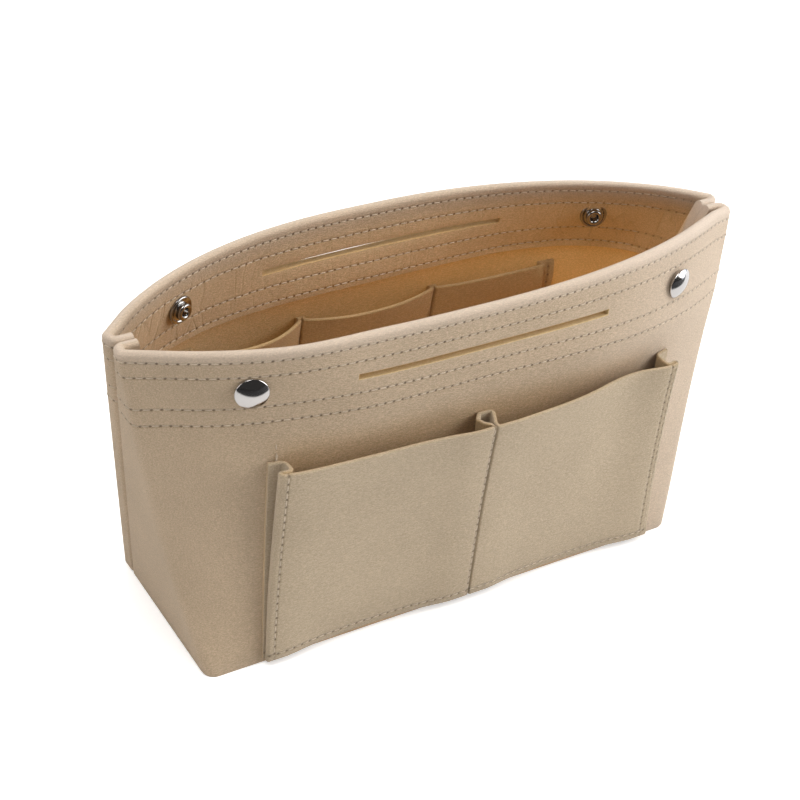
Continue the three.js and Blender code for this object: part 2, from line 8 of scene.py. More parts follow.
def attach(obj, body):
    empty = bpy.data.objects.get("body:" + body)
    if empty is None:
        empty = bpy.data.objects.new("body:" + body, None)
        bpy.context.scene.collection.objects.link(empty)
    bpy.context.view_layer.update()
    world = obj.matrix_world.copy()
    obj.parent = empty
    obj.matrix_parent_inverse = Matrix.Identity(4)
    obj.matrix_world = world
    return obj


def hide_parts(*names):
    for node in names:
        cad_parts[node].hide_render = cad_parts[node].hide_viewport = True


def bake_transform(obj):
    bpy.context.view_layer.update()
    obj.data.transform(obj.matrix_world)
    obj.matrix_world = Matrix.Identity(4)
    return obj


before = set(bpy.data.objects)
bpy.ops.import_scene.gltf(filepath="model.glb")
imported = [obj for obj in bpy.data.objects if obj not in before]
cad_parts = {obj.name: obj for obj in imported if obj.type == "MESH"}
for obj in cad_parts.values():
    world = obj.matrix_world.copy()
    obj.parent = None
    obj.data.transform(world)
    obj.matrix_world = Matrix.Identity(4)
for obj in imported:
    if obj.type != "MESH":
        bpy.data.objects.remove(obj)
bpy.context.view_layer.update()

# Shape of the sewn box
# Two felt walls stand on a rectangular base and are pinched together at both ends of the rim, so that
# the box opens as a pointed oval. Lengths here are millimetres, and MM turns them into metres.
MM = 0.001
FELT = 2.15
FELT_HEIGHT = 146.6
BASE_LENGTH = 229
BASE_WIDTH = 79
RIM_LENGTH = 281
RIM_END_WIDTH = 7
REAR_WRAP = 8.6
FIN_GAP = 0.04
FIN_DEPTH = 10
FIN_FOOT_DEPTH = 5
SEAM_RADIUS = 4.6
SEAM_FOOT_RADIUS = 1.6
CORNER_RADIUS = 2.8
SMALLEST_RADIUS = 0.15
WAVE_DEPTH = 0.45
WAVE_LENGTH = 46
CORNER_STEPS = 7
FACE_STEPS = 46
FACE_REACH_SHARE = 0.92
SLOT_LENGTH = 114
SLOT_HEIGHT = 2.3
SLOT_DROP = 19
PINCH_LINE_SHARE = 0.7835

FRONT = {"name": "front", "turn": 1, "half_width": 39.3, "power": 3.4, "bow": -2.5, "foot_radius": 5,
         "foot_seam": BASE_WIDTH / 2 - REAR_WRAP - FIN_GAP, "seed": 3.0, "lean": 0.3,
         "fall_left": {"size": -2.8, "start": 45, "span": 45},
         "fall_right": {"size": 3.5, "start": 0, "span": 95}}
REAR = {"name": "rear", "turn": -1, "half_width": 43.2, "power": 3.2, "bow": 10, "foot_radius": 2,
        "foot_seam": REAR_WRAP - BASE_WIDTH / 2 - FIN_GAP, "seed": 8.0, "lean": 2.8,
        "fall_left": {"size": 4.6, "start": 20, "span": 100},
        "fall_right": {"size": 9.4, "start": 0, "span": 120}}
SNAP_DROP = 18.6
LEAN_END = 33
LEAN_FADE = 20
END_SHIFT = 2.2
END_POWER = 14
CORNER_SWELL = 4
# How sharply each end widens below the rim: 1 is straight.
END_PINCH = {("front", -1): 2.9, ("front", 1): 0.95, ("rear", -1): 1, ("rear", 1): 1}
PINCH_POWER = 10


def mix(low, high, share):
    return low + (high - low) * share


def ease(value):
    value = min(1, max(0, value))
    return value * value * (3 - 2 * value)


def half_length(share):
    return mix(BASE_LENGTH, RIM_LENGTH, share) / 2


def rim_width(wall, along):
    return RIM_END_WIDTH + (wall["half_width"] - RIM_END_WIDTH) * (1 - abs(along) ** wall["power"])


def rim_top(wall, along):
    return math.sqrt(FELT_HEIGHT ** 2 - (BASE_WIDTH / 2 - rim_width(wall, along)) ** 2)


def hem_lean(wall, along, share):
    """The stiff hem tips about the line of the snaps, and the rim's pinched ends lie a little forward."""
    x = along * half_length(share) * wall["turn"]
    fall = wall["fall_left"] if x < 0 else wall["fall_right"]
    size = wall["lean"] - fall["size"] * ease((abs(x) - fall["start"]) / fall["span"])
    drop = (1 - share) * FELT_HEIGHT
    tip = 1 - min(drop, LEAN_END) / SNAP_DROP
    fade = 1 - ease((drop - LEAN_END) / LEAN_FADE)
    return mix(size * tip * fade, END_SHIFT * wall["turn"] * share, abs(along) ** END_POWER)


def pinched(wall, along, share):
    """Where the hem holds an end of the box together, it only widens in its lower half."""
    side = -wall["turn"] if along < 0 else wall["turn"]
    return 1 - (1 - share) ** mix(1, END_PINCH[wall["name"], side], abs(along) ** PINCH_POWER)


def wall_width(wall, along, share):
    belly = math.sin(math.pi * share) * (1 - along ** 2)
    place = Vector((along * half_length(share), share * FELT_HEIGHT, 0)) / WAVE_LENGTH
    wave = noise.noise(place + Vector((0, 0, wall["seed"]))) * WAVE_DEPTH
    plain = mix(BASE_WIDTH / 2, rim_width(wall, along), pinched(wall, along, share))
    plain += wall["bow"] * belly + wave * belly
    return plain + hem_lean(wall, along, share)


def corner(x, y, radius=0.0, top=0.0):
    return {"at": Vector((x, y)), "radius": radius, "top": top}


def heading(first, second):
    return (second["at"] - first["at"]).normalized()


def offset_walk(walk, distance):
    """The same walk moved to its left: outside corners open and inside corners tighten."""
    moved = []
    last = len(walk) - 1
    for i, here in enumerate(walk):
        coming = max(i, 1)
        going = min(i, last - 1)
        first = heading(walk[coming - 1], walk[coming])
        second = heading(walk[going], walk[going + 1])
        first_side = Vector((-first.y, first.x))
        second_side = Vector((-second.y, second.x))
        place = here["at"] + (first_side + second_side) * (distance / (1 + first_side.dot(second_side)))
        turn = -distance if first.cross(second) > 0 else distance
        radius = max(here["radius"] + turn, SMALLEST_RADIUS) if here["radius"] else 0
        moved.append({"at": place, "radius": radius, "top": here["top"]})
    return moved


def stations(walk):
    """Points along a walk, each rounded corner replaced by its arc."""
    points = []
    for i, here in enumerate(walk):
        if not here["radius"]:
            points.append((here["at"].x, here["at"].y, here["top"]))
            continue
        back = heading(here, walk[i - 1])
        ahead = heading(here, walk[i + 1])
        half = math.acos(min(1, max(-1, back.dot(ahead)))) / 2
        centre = (back + ahead).normalized() * (here["radius"] / math.sin(half))
        arm = back * (here["radius"] / math.tan(half)) - centre
        sweep = math.copysign(math.pi - 2 * half, ahead.cross(back))
        for step in range(CORNER_STEPS + 1):
            turned = arm.copy()
            turned.rotate(Matrix.Rotation(sweep * step / CORNER_STEPS, 2))
            place = here["at"] + centre + turned
            points.append((place.x, place.y, here["top"]))
    return points


def with_marks(values, marks):
    """The even steps, with the nearest one moved onto each mark."""
    marked = list(values)
    for mark in marks:
        nearest = min(range(len(marked)), key=lambda i: abs(marked[i] - mark))
        marked[nearest] = mark
    return marked


slot_end = SLOT_LENGTH / 2 / half_length(1 - SLOT_DROP / FELT_HEIGHT)
even_alongs = [FACE_REACH_SHARE * step / FACE_STEPS for step in range(1, FACE_STEPS + 1)]
right_alongs = with_marks(even_alongs, [slot_end, PINCH_LINE_SHARE])
face_alongs = [-value for value in reversed(right_alongs)] + [0] + right_alongs
end_columns = 2 * (CORNER_STEPS + 1)
centre_column = 1 + end_columns + FACE_STEPS
slot_reach = 1 + right_alongs.index(slot_end)
pinch_reach = 1 + right_alongs.index(PINCH_LINE_SHARE)
slot_columns = (centre_column - slot_reach, centre_column + slot_reach)
pinch_columns = (centre_column - pinch_reach, centre_column + pinch_reach)
last_column = 2 * centre_column


def wall_walk(wall, share):
    reach = half_length(share)
    shift = END_SHIFT * wall["turn"] * share
    seam = mix(wall["foot_seam"], -FIN_GAP, share) - shift
    fin = mix(FIN_FOOT_DEPTH, FIN_DEPTH, share)
    seam_radius = mix(SEAM_FOOT_RADIUS, SEAM_RADIUS, share)
    swell = CORNER_SWELL * math.sin(math.pi * share) ** 2 if wall is FRONT else 0
    corner_radius = mix(wall["foot_radius"], CORNER_RADIUS, share) + swell
    top = rim_top(wall, 1)
    left, right = [], []
    for side, end in ((-1, left), (1, right)):
        width = mix(BASE_WIDTH / 2, RIM_END_WIDTH, pinched(wall, side, share)) + shift
        end += [corner(side * (reach - fin), seam, 0, top), corner(side * reach, seam, seam_radius, top),
                corner(side * reach, -width, corner_radius, top)]
    right.reverse()
    face = [corner(along * reach, -wall_width(wall, along, share), 0, rim_top(wall, along))
            for along in face_alongs]
    return left + face + right


def wall_row(wall, drop, depth):
    """Points along a wall at a drop below the rim and a depth into the felt from its outer side."""
    share = 1 - drop / FELT_HEIGHT
    turn = wall["turn"]
    row = stations(offset_walk(wall_walk(wall, share), depth))
    return [Vector((x * turn, y * turn, top * share)) for x, y, top in row]


# Felt
# Needle felt of a beige fibre mix: a matt mat of crossing fibres with a soft nap, slightly mottled.
# Painted warm bounce light turns it golden in the depth of the box, and painted shade darkens the
# needle holes along each seam.
NEEDLE_ROWS = (4.3, 11.5, 26.7, 34.5)
STITCH_PITCH = 3.7
HOLE_RADIUS = 0.48
GROOVE_WIDTH = 1.2
WALL_SEAMS = [("sewing", NEEDLE_ROWS)]
POCKET_SEAMS = [("sewing", (0,)), ("edge_sewing", (0,))]
NO_SEAM = 500
RAW_EDGE_ANGLE = math.radians(40)
WELD = 0.001
# The colour of painted shade in needle holes, seam grooves and hem creases.
PAINTED_SHADE_COLOR = (0.09, 0.05, 0.022, 1)
WALL_PALE = (0.66, 0.50, 0.345, 1)
WALL_DEEP = (0.46, 0.345, 0.225, 1)
POCKET_PALE = (0.60, 0.478, 0.333, 1)
POCKET_DEEP = (0.445, 0.348, 0.234, 1)
CUT_PALE = (0.80, 0.61, 0.34, 1)
CUT_DEEP = (0.66, 0.47, 0.23, 1)
PAINTED_LIGHT_COLOR = (0.80, 0.68, 0.59, 1)
BOUNCE_GOLD = (1.12, 0.92, 0.55, 1)
GLOW = (0.27, 0.13, 0.03, 1)
BLACK = (0, 0, 0, 1)
# Each noise is given as its scale, detail, roughness and distortion.
STRAND_NOISE = (3000, 2, 0.6, 0.6)
GRAIN_NOISE = (2200, 3, 0.65)
MOTTLE_NOISE = (28, 3)
STRAY_NOISE = (0.3, 2)
CREASE_NOISE = (90, 2, 0.5, 0.25)
STRAND_TURNS = ((0.2, 0.4, 0.0), (1.3, 0.2, 1.1), (0.5, 1.4, 2.2))
STRAND_STRETCH = (0.2, 1.0, 1.0)
STRAND_RANGE = (0.45, 0.78)
SHADE_RANGE = (0.5, 1.0)
STRAND_SHARE = 0.5
GRAIN_SHARE = 0.8
MOTTLE_SHARE = 0.3
STRAY = 0.5
GROOVE_SHADE_SHARE = 0.16
WALL_HOLE_SHADE_SHARE = 0.62
POCKET_HOLE_SHADE_SHARE = 0.5
GROOVE_DROP = -1.0
HOLE_DROP = -1.2
FIBRE_HEIGHT = 0.4
GLOW_SPAN = 110
GLOW_SHARES = (0.2, 0.9)
OUTSIDE_BOUNCE = 0.2
INSIDE_BOUNCE = (0.1, 0.3)
RIGHT_LIGHT_SPAN = (20, 120)
RIGHT_LIGHT_SHARE = 0.3
POCKET_SIDE = (78, 94)
POCKET_MOUTH = (92, 108)
MOUTH_SHADE_SHARE = 0.45
CREASE_STRETCH = (1.0, 1.0, 0.22)
CREASE_TURN = (0.0, 0.2, 0.0)
CREASE_WIDTH = 0.035
CREASE_SPAN = (55, 110)
CREASE_FOOT = (35, 37)
LEAST_CREASE_SHARE = 0.3
CREASE_SHADE_SHARE = 0.1
CREASE_DROP = -0.8


def feed(tree, node, takes):
    """Sets plain values on a node's sockets, and links other nodes' outputs to them."""
    for socket, value in takes.items():
        if isinstance(value, bpy.types.NodeSocket):
            tree.links.new(value, node.inputs[socket])
        else:
            node.inputs[socket].default_value = value


def add_node(tree, kind, takes, **settings):
    node = tree.nodes.new(f"ShaderNode{kind}")
    for name, value in settings.items():
        setattr(node, name, value)
    feed(tree, node, takes)
    return node


def add_math(tree, operation, *values):
    return add_node(tree, "Math", dict(enumerate(values)), operation=operation).outputs[0]


def add_noise(tree, where, scale, detail, roughness=0.5, distortion=0.0):
    takes = {"Vector": where, "Scale": scale, "Detail": detail, "Roughness": roughness,
             "Distortion": distortion}
    return add_node(tree, "TexNoise", takes).outputs["Fac"]


def add_ramp(tree, value, low, high, out_low=0.0, out_high=1.0):
    takes = {"Value": value, "From Min": low, "From Max": high, "To Min": out_low, "To Max": out_high}
    return add_node(tree, "MapRange", takes, interpolation_type="SMOOTHSTEP").outputs["Result"]


def add_mix(tree, share, first, second, blend="MIX"):
    """A colour mix: the node's colours are its sockets 6 and 7 and its output 2."""
    takes = {0: share, 6: first, 7: second}
    return add_node(tree, "Mix", takes, data_type="RGBA", blend_type=blend).outputs[2]


def times(tree, first, *others):
    """The product of masks and numbers."""
    for other in others:
        first = add_math(tree, "MULTIPLY", first, other)
    return first


def paint_in(tree, mask, share, color, other):
    """Mixes a share of another colour in where a mask is 1: here painted shade, painted light and a painted
    reflection.
    """
    return add_mix(tree, times(tree, mask, share), color, other)


def add_mapping(tree, place, stretch, turn):
    return add_node(tree, "Mapping", {"Vector": place, "Scale": stretch, "Rotation": turn}).outputs["Vector"]


def read_place(tree):
    return tree.nodes.new("ShaderNodeTexCoord").outputs["Object"]


def read_mark(tree, name):
    return add_node(tree, "Attribute", {}, attribute_name=name).outputs["Fac"]


def split_up(tree, vector):
    split = add_node(tree, "SeparateXYZ", {0: vector})
    return split.outputs["X"], split.outputs["Y"], split.outputs["Z"]


def read_map(tree, name):
    sewing = add_node(tree, "UVMap", {}, uv_map=name)
    return split_up(tree, sewing.outputs["UV"])[:2]


def new_group(name, takes, gives):
    group = bpy.data.node_groups.new(name, "ShaderNodeTree")
    for way, sockets in (("INPUT", takes), ("OUTPUT", gives)):
        for socket, kind in sockets:
            group.interface.new_socket(name=socket, in_out=way, socket_type=f"NodeSocket{kind}")
    return group, group.nodes.new("NodeGroupInput").outputs, group.nodes.new("NodeGroupOutput")


def make_fibre_group():
    """Crossing fibres, clumps and wide mottling, as a colour and a height."""
    takes = [("Place", "Vector"), ("Pale", "Color"), ("Deep", "Color")]
    tree, given, result = new_group("felt_fibre", takes, [("Color", "Color"), ("Height", "Float")])
    crossing = 0
    for turn in STRAND_TURNS:
        strand = add_noise(tree, add_mapping(tree, given["Place"], STRAND_STRETCH, turn), *STRAND_NOISE)
        crossing = add_math(tree, "MAXIMUM", crossing, strand)
    fine = times(tree, add_ramp(tree, crossing, *STRAND_RANGE), STRAND_SHARE)
    grain = add_noise(tree, given["Place"], *GRAIN_NOISE)
    mottling = add_noise(tree, given["Place"], *MOTTLE_NOISE)
    height = add_math(tree, "MULTIPLY_ADD", grain, GRAIN_SHARE, fine)
    depth = add_math(tree, "MULTIPLY_ADD", mottling, MOTTLE_SHARE, height)
    shade = add_ramp(tree, depth, *SHADE_RANGE)
    feed(tree, result, {"Color": add_mix(tree, shade, given["Deep"], given["Pale"]), "Height": height})
    return tree


def make_needle_group():
    """Needle holes and the sunk line that they lie on, from millimetres along and across a seam."""
    tree, given, result = new_group("needle_line", [("Along", "Float"), ("Across", "Float")],
                                    [("Hole", "Float"), ("Groove", "Float")])
    wander = add_node(tree, "CombineXYZ", {"X": given["Along"]}).outputs[0]
    strayed = add_math(tree, "SUBTRACT", add_noise(tree, wander, *STRAY_NOISE), 0.5)
    away = add_math(tree, "ABSOLUTE", add_math(tree, "MULTIPLY_ADD", strayed, STRAY, given["Across"]))
    shifted = add_math(tree, "ADD", add_math(tree, "DIVIDE", given["Along"], STITCH_PITCH), 0.5)
    past = add_math(tree, "SUBTRACT", add_math(tree, "FRACT", shifted), 0.5)
    along = times(tree, past, STITCH_PITCH)
    reach = add_math(tree, "SQRT", add_math(tree, "MULTIPLY_ADD", along, along, times(tree, away, away)))
    feed(tree, result, {"Hole": add_ramp(tree, reach, HOLE_RADIUS / 2, 1.5 * HOLE_RADIUS, 1, 0),
                        "Groove": add_ramp(tree, away, 0, GROOVE_WIDTH, 1, 0)})
    return tree


fibre_group = make_fibre_group()
needle_group = make_needle_group()


def seam_marks(tree, seams):
    """The holes and grooves of all seams on a piece; each seam is a map and its rows across that map."""
    hole = groove = 0
    for name, rows in seams:
        along, across = read_map(tree, name)
        for row in rows:
            takes = {"Along": along, "Across": add_math(tree, "SUBTRACT", across, row)}
            needle = add_node(tree, "Group", takes, node_tree=needle_group)
            hole = add_math(tree, "MAXIMUM", hole, needle.outputs["Hole"])
            groove = add_math(tree, "MAXIMUM", groove, needle.outputs["Groove"])
    return hole, groove


def light_through(tree, x, bounce_light):
    """Light through the single felt below the hem, stronger towards the right end."""
    lit = add_ramp(tree, x, -GLOW_SPAN * MM, GLOW_SPAN * MM, *GLOW_SHARES)
    return add_mix(tree, times(tree, lit, bounce_light), BLACK, GLOW)


def paint_wall_shading(tree, place, bounce_light, color, bounce_lit):
    """Painted warm shade on the front wall behind the outer pockets, and painted light on the outside towards
    the right end.
    """
    x, y, z = split_up(tree, place)
    beside = add_ramp(tree, add_math(tree, "ABSOLUTE", x), *[side * MM for side in POCKET_SIDE], 1, 0)
    below = add_ramp(tree, z, *[mouth * MM for mouth in POCKET_MOUTH], 1, 0)
    before = add_ramp(tree, y, -FELT * MM, FELT * MM, 1, 0)
    # Painted warm shade on the wall below the pocket mouths.
    color = paint_in(tree, times(tree, beside, below, before), MOUTH_SHADE_SHARE, color, bounce_lit)
    # Painted light on the outer side, stronger towards the right end.
    lit_right = add_ramp(tree, x, *[end * MM for end in RIGHT_LIGHT_SPAN], 0, RIGHT_LIGHT_SHARE)
    outside = add_ramp(tree, bounce_light, 0, OUTSIDE_BOUNCE, 1, 0)
    return paint_in(tree, lit_right, outside, color, PAINTED_LIGHT_COLOR)


def hem_creases(tree, place, bounce_light):
    """A mask of upright creases in the turned hem, stronger towards its ends, for painted shade and a bump.
    """
    along, across = read_map(tree, "sewing")
    folds = add_noise(tree, add_mapping(tree, place, CREASE_STRETCH, CREASE_TURN), *CREASE_NOISE)
    ridge = add_math(tree, "ABSOLUTE", add_math(tree, "SUBTRACT", folds, 0.5))
    valley = add_ramp(tree, ridge, 0, CREASE_WIDTH, 1, 0)
    reach = add_ramp(tree, add_math(tree, "ABSOLUTE", along), *CREASE_SPAN, LEAST_CREASE_SHARE, 1)
    hemmed = add_ramp(tree, across, *CREASE_FOOT, 1, 0)
    return times(tree, reach, hemmed, add_ramp(tree, bounce_light, *INSIDE_BOUNCE), valley)


def new_material(name):
    material = bpy.data.materials.new(name)
    material.use_nodes = True
    return material, material.node_tree, material.node_tree.nodes["Principled BSDF"]


def dress(tree, shader, takes, height, strength, distance):
    """Feeds a shader's sockets and bumps its surface by a height."""
    bump = add_node(tree, "Bump", {"Strength": strength, "Distance": distance * MM, "Height": height})
    feed(tree, shader, {**takes, "Normal": bump.outputs["Normal"]})


def felt_material(name, pale, deep, seams=(), hole_shade_share=0, is_wall=False):
    """Felt in one dye lot, with painted warm bounce light mixed in by one vertex mark
    and painted top light on the rim by another.
    """
    material, tree, shader = new_material(name)
    place = read_place(tree)
    fibre = add_node(tree, "Group", {"Place": place, "Pale": pale, "Deep": deep}, node_tree=fibre_group)
    bounce_light = read_mark(tree, "bounce_light")
    # Painted warm bounce light between the felt walls: the felt's colour times gold, mixed in by a vertex
    # mark.
    bounce_lit = add_mix(tree, 1.0, fibre.outputs["Color"], BOUNCE_GOLD, "MULTIPLY")
    color = add_mix(tree, bounce_light, fibre.outputs["Color"], bounce_lit)
    # Painted top light on the folded rim.
    color = add_mix(tree, read_mark(tree, "rim_light"), color, PAINTED_LIGHT_COLOR)
    height = fibre.outputs["Height"]
    takes = {"Roughness": 0.95, "Specular IOR Level": 0.1, "Sheen Weight": 0.2, "Sheen Roughness": 0.6}
    if seams:
        hole, groove = seam_marks(tree, seams)
        # Painted shade in the sunk seam lines and in the needle holes.
        color = paint_in(tree, groove, GROOVE_SHADE_SHARE, color, PAINTED_SHADE_COLOR)
        color = paint_in(tree, hole, hole_shade_share, color, PAINTED_SHADE_COLOR)
        height = add_math(tree, "MULTIPLY_ADD", groove, GROOVE_DROP, height)
        height = add_math(tree, "MULTIPLY_ADD", hole, HOLE_DROP, height)
    if is_wall:
        takes["Emission Color"] = light_through(tree, split_up(tree, place)[0], bounce_light)
        takes["Emission Strength"] = 1
        crease = hem_creases(tree, place, bounce_light)
        # Painted shade in the hem creases.
        color = paint_in(tree, crease, CREASE_SHADE_SHARE, paint_wall_shading(tree, place, bounce_light, color, bounce_lit), PAINTED_SHADE_COLOR)
        height = add_math(tree, "MULTIPLY_ADD", crease, CREASE_DROP, height)
    takes["Base Color"] = color
    dress(tree, shader, takes, height, strength=0.8, distance=FIBRE_HEIGHT)
    return material


wall_felt = felt_material("wall_felt", WALL_PALE, WALL_DEEP, WALL_SEAMS, WALL_HOLE_SHADE_SHARE, is_wall=True)
pocket_felt = felt_material("pocket_felt", POCKET_PALE, POCKET_DEEP, POCKET_SEAMS, POCKET_HOLE_SHADE_SHARE)
cut_felt = felt_material("cut_felt", CUT_PALE, CUT_DEEP)


def new_piece(bm, name, materials):
    mesh = bpy.data.meshes.new(name)
    bm.to_mesh(mesh)
    bm.free()
    for material in materials:
        mesh.materials.append(material)
    piece = bpy.data.objects.new(name, mesh)
    bpy.context.collection.objects.link(piece)
    return piece


def bent_grid(rows, maps, bounce_lights, rim_lights=None):
    """A grid of faces bent onto rows of points that go once round the felt's section.
    Each map gives, row by row, the pair of lengths that a seam is read from."""
    bm = bmesh.new()
    columns = len(rows[0]) - 1
    turns = len(rows)
    bmesh.ops.create_grid(bm, x_segments=columns, y_segments=turns, size=1)
    layers = {name: bm.loops.layers.uv.new(name) for name in maps}
    column_mark = bm.faces.layers.int.new("column")
    # Vertex marks for painted warm bounce light and for painted top light on the rim.
    bounce_light = bm.verts.layers.float.new("bounce_light")
    rim_light = bm.verts.layers.float.new("rim_light")
    spots = {v: (round((v.co.x + 1) / 2 * columns), round((v.co.y + 1) / 2 * turns)) for v in bm.verts}
    for face in bm.faces:
        face.smooth = True
        face[column_mark] = 1 + min(spots[v][0] for v in face.verts)
        for loop in face.loops:
            column, turn = spots[loop.vert]
            for name, layer in layers.items():
                loop[layer].uv = maps[name][turn % turns][column]
    for vertex, (column, turn) in spots.items():
        vertex.co = rows[turn % turns][column] * MM
        vertex[bounce_light] = bounce_lights[turn % turns]
        vertex[rim_light] = rim_lights[turn % turns] if rim_lights else 0
    seam = [v for v, (column, turn) in spots.items() if turn in (0, turns)]
    bmesh.ops.remove_doubles(bm, verts=seam, dist=WELD * MM)
    return bm


def clear_seams(bm, faces):
    """Takes faces made after the grid off every seam."""
    for layer in bm.loops.layers.uv.values():
        for face in faces:
            for loop in face.loops:
                loop[layer].uv = (0, NO_SEAM)


def soften(bm, sharpest):
    """Smooths every edge that is flatter than an angle."""
    for edge in bm.edges:
        edge.smooth = edge.calc_face_angle(0) < sharpest


def felt_piece(bm, name, first, last, materials):
    """The part of a bent grid between two columns, closed at both ends."""
    part = bm.copy()
    mark = part.faces.layers.int["column"]
    spare = [face for face in part.faces if not first < face[mark] <= last]
    bmesh.ops.delete(part, geom=spare, context="FACES")
    rim = [edge for edge in part.edges if edge.is_boundary]
    clear_seams(part, bmesh.ops.holes_fill(part, edges=rim, sides=0)["faces"])
    soften(part, RAW_EDGE_ANGLE)
    bmesh.ops.recalc_face_normals(part, faces=part.faces)
    return new_piece(part, name, materials)


# Walls
# Each wall is one length of felt. It wraps round both ends, turns in at the side seams as a fin, and its
# top is turned 38 mm down the inside as a hem that ends in a raw edge and is held by four rows of stitches.
HEM = 4.2
HEM_DEPTH = 37.8
EDGE_ROUND = 0.45
RIM_STEPS = 8
WALL_ROWS = 18
INNER_WALL_ROWS = 16
HEM_ROWS = 5
FLAP_ROWS = 7
RIM_LINE = 3.4
SLOT_MARGINS = (15, 24)
HEM_LINE = 38
WALL_LINE = 42
LIFT_START = 35.2
EDGE_LIFT = 0.45
LIFT_PITCH = 24
LEAST_LIFT_SHARE = 0.35
CRINKLE_DEPTH = 0.6
CRINKLE_SHARES = (0.4, 1.2)
CRINKLE_PITCH = 7
CRINKLE_HEIGHT = 60
SLANT_SHARE = 0.6
SLANT_PITCH = 16
SLANT_HEIGHT = 22
SLANT_SHIFT = 30
SLANT_SEED = 5
LIFT_SEED = 9
RIM_HOLD = 2
HOLD_FADE = 8
HOLD_POWER = 12
PROBE = 1
HEM_BOUNCE_SHARE = 0.36
BOUNCE_FADE = 14
SINGLE_BOUNCE_SHARE = 0.7
RIM_LIGHT_SHARE = 0.42
RIM_LIGHT_DEPTH = 7
SLOT_EDGES = (SLOT_DROP - SLOT_HEIGHT / 2, SLOT_DROP + SLOT_HEIGHT / 2)
SLOT_GAPE = 0.05
SLOT_SLOPE = 0.6
SLOT_SLOPE_MIDDLE = -22
SLOT_SLOPE_SPAN = 84
SLOT_MARGIN = 2
LIP_ROUND = 0.3
column_alongs = [-1] * (1 + end_columns) + face_alongs + [1] * (1 + end_columns)


def even(first, last, count):
    return [mix(first, last, step / count) for step in range(count + 1)]


def wall_section():
    """Drops below the rim and depths into the felt, once round the section of a hemmed wall."""
    slot_edges = list(SLOT_EDGES)
    above_slot, below_slot = SLOT_MARGINS
    foot = FELT_HEIGHT - 2 * EDGE_ROUND
    half = HEM / 2
    outside = even(foot, WALL_LINE, WALL_ROWS) + even(HEM_LINE, below_slot, HEM_ROWS)
    outside += slot_edges[::-1] + even(above_slot, RIM_LINE, HEM_ROWS)
    section = [(FELT_HEIGHT, EDGE_ROUND)] + [(drop, 0) for drop in outside]
    for angle in even(0, math.pi, RIM_STEPS):
        section.append((half * (1 - math.sin(angle)), half * (1 - math.cos(angle))))
    inside = even(RIM_LINE, above_slot, HEM_ROWS) + slot_edges
    inside += even(below_slot, HEM_DEPTH - EDGE_ROUND, FLAP_ROWS)
    section += [(drop, HEM) for drop in inside]
    section += [(HEM_DEPTH, HEM - EDGE_ROUND), (HEM_DEPTH, FELT + EDGE_ROUND), (HEM_DEPTH - EDGE_ROUND, FELT)]
    section += [(LIFT_START, FELT), (LIFT_START + EDGE_ROUND, FELT)]
    section += [(drop, FELT) for drop in even(HEM_DEPTH, foot, INNER_WALL_ROWS)]
    section += [(FELT_HEIGHT, FELT - EDGE_ROUND)]
    return section


def crinkle(wall, along, length, drop):
    """How far the turned hem stands off the wall behind it: soft upright creases, stronger at the ends."""
    upright = noise.noise(Vector((length / CRINKLE_PITCH, drop / CRINKLE_HEIGHT, wall["seed"])))
    shifted = length / SLANT_PITCH + drop / SLANT_SHIFT
    slanting = noise.noise(Vector((shifted, drop / SLANT_HEIGHT, wall["seed"] + SLANT_SEED)))
    held = ease((drop - RIM_HOLD) / HOLD_FADE) * (1 - abs(along) ** HOLD_POWER)
    deep = abs(upright) * mix(*CRINKLE_SHARES, along * along) + SLANT_SHARE * abs(slanting)
    return CRINKLE_DEPTH * held * deep


def edge_lift(wall, length, drop):
    wander = noise.noise(Vector((length / LIFT_PITCH, 0, wall["seed"] + LIFT_SEED)))
    rise = ease((drop - LIFT_START) / (HEM_DEPTH - LIFT_START))
    return EDGE_LIFT * rise * (LEAST_LIFT_SHARE + max(0, wander))


def row_lengths(row):
    lengths = [0]
    for first, second in zip(row, row[1:]):
        lengths.append(lengths[-1] + (second - first).length)
    return lengths


def wall_lengths(wall, drop):
    """Lengths along the wall's outer side at a drop, from the middle of the wall."""
    lengths = row_lengths(wall_row(wall, drop, 0))
    return [length - lengths[centre_column] for length in lengths]


def push_in(row, deeper, column, distance):
    row[column] = row[column] + (deeper[column] - row[column]).normalized() * distance


def wall_rows(wall, section, lengths):
    rows = []
    for i, (drop, depth) in enumerate(section):
        row = wall_row(wall, drop, depth)
        flap = depth > FELT or HEM_DEPTH - EDGE_ROUND <= drop <= HEM_DEPTH and section[i - 1][1] > FELT
        if flap and depth > HEM / 2:
            deeper = wall_row(wall, drop, depth + PROBE)
            for column, along in enumerate(column_alongs):
                length = lengths[i][column]
                extra = edge_lift(wall, length, drop) * (1 - abs(along) ** HOLD_POWER)
                if depth > HEM - EDGE_ROUND / 2:
                    extra += crinkle(wall, along, length, drop)
                push_in(row, deeper, column, extra)
        if drop in SLOT_EDGES:
            gaping(wall, row, drop, depth)
        rows.append(row)
    return rows


# Painted warm bounce light in the box: none outside, some on the inner hem, most on the single felt low
# inside.
def bounce_light_at(drop, depth):
    if depth <= HEM / 2 and drop < RIM_LINE or depth < EDGE_ROUND * 1.5:
        return 0.0
    if depth > FELT:
        return HEM_BOUNCE_SHARE * ease((drop - RIM_HOLD) / BOUNCE_FADE)
    return mix(SINGLE_BOUNCE_SHARE, 1, (drop - HEM_DEPTH) / (FELT_HEIGHT - HEM_DEPTH))


def rim_light_at(drop, depth):
    """Painted top light on the folded rim: paler than the rest, most on its outer side."""
    return RIM_LIGHT_SHARE * (1 - ease(drop / RIM_LIGHT_DEPTH)) * (1 if depth < FELT else 0.5)


def hump(x, middle, span):
    """1 in the middle of a span, falling to 0 at its ends."""
    return max(0, 1 - (2 * (x - middle) / span) ** 2)


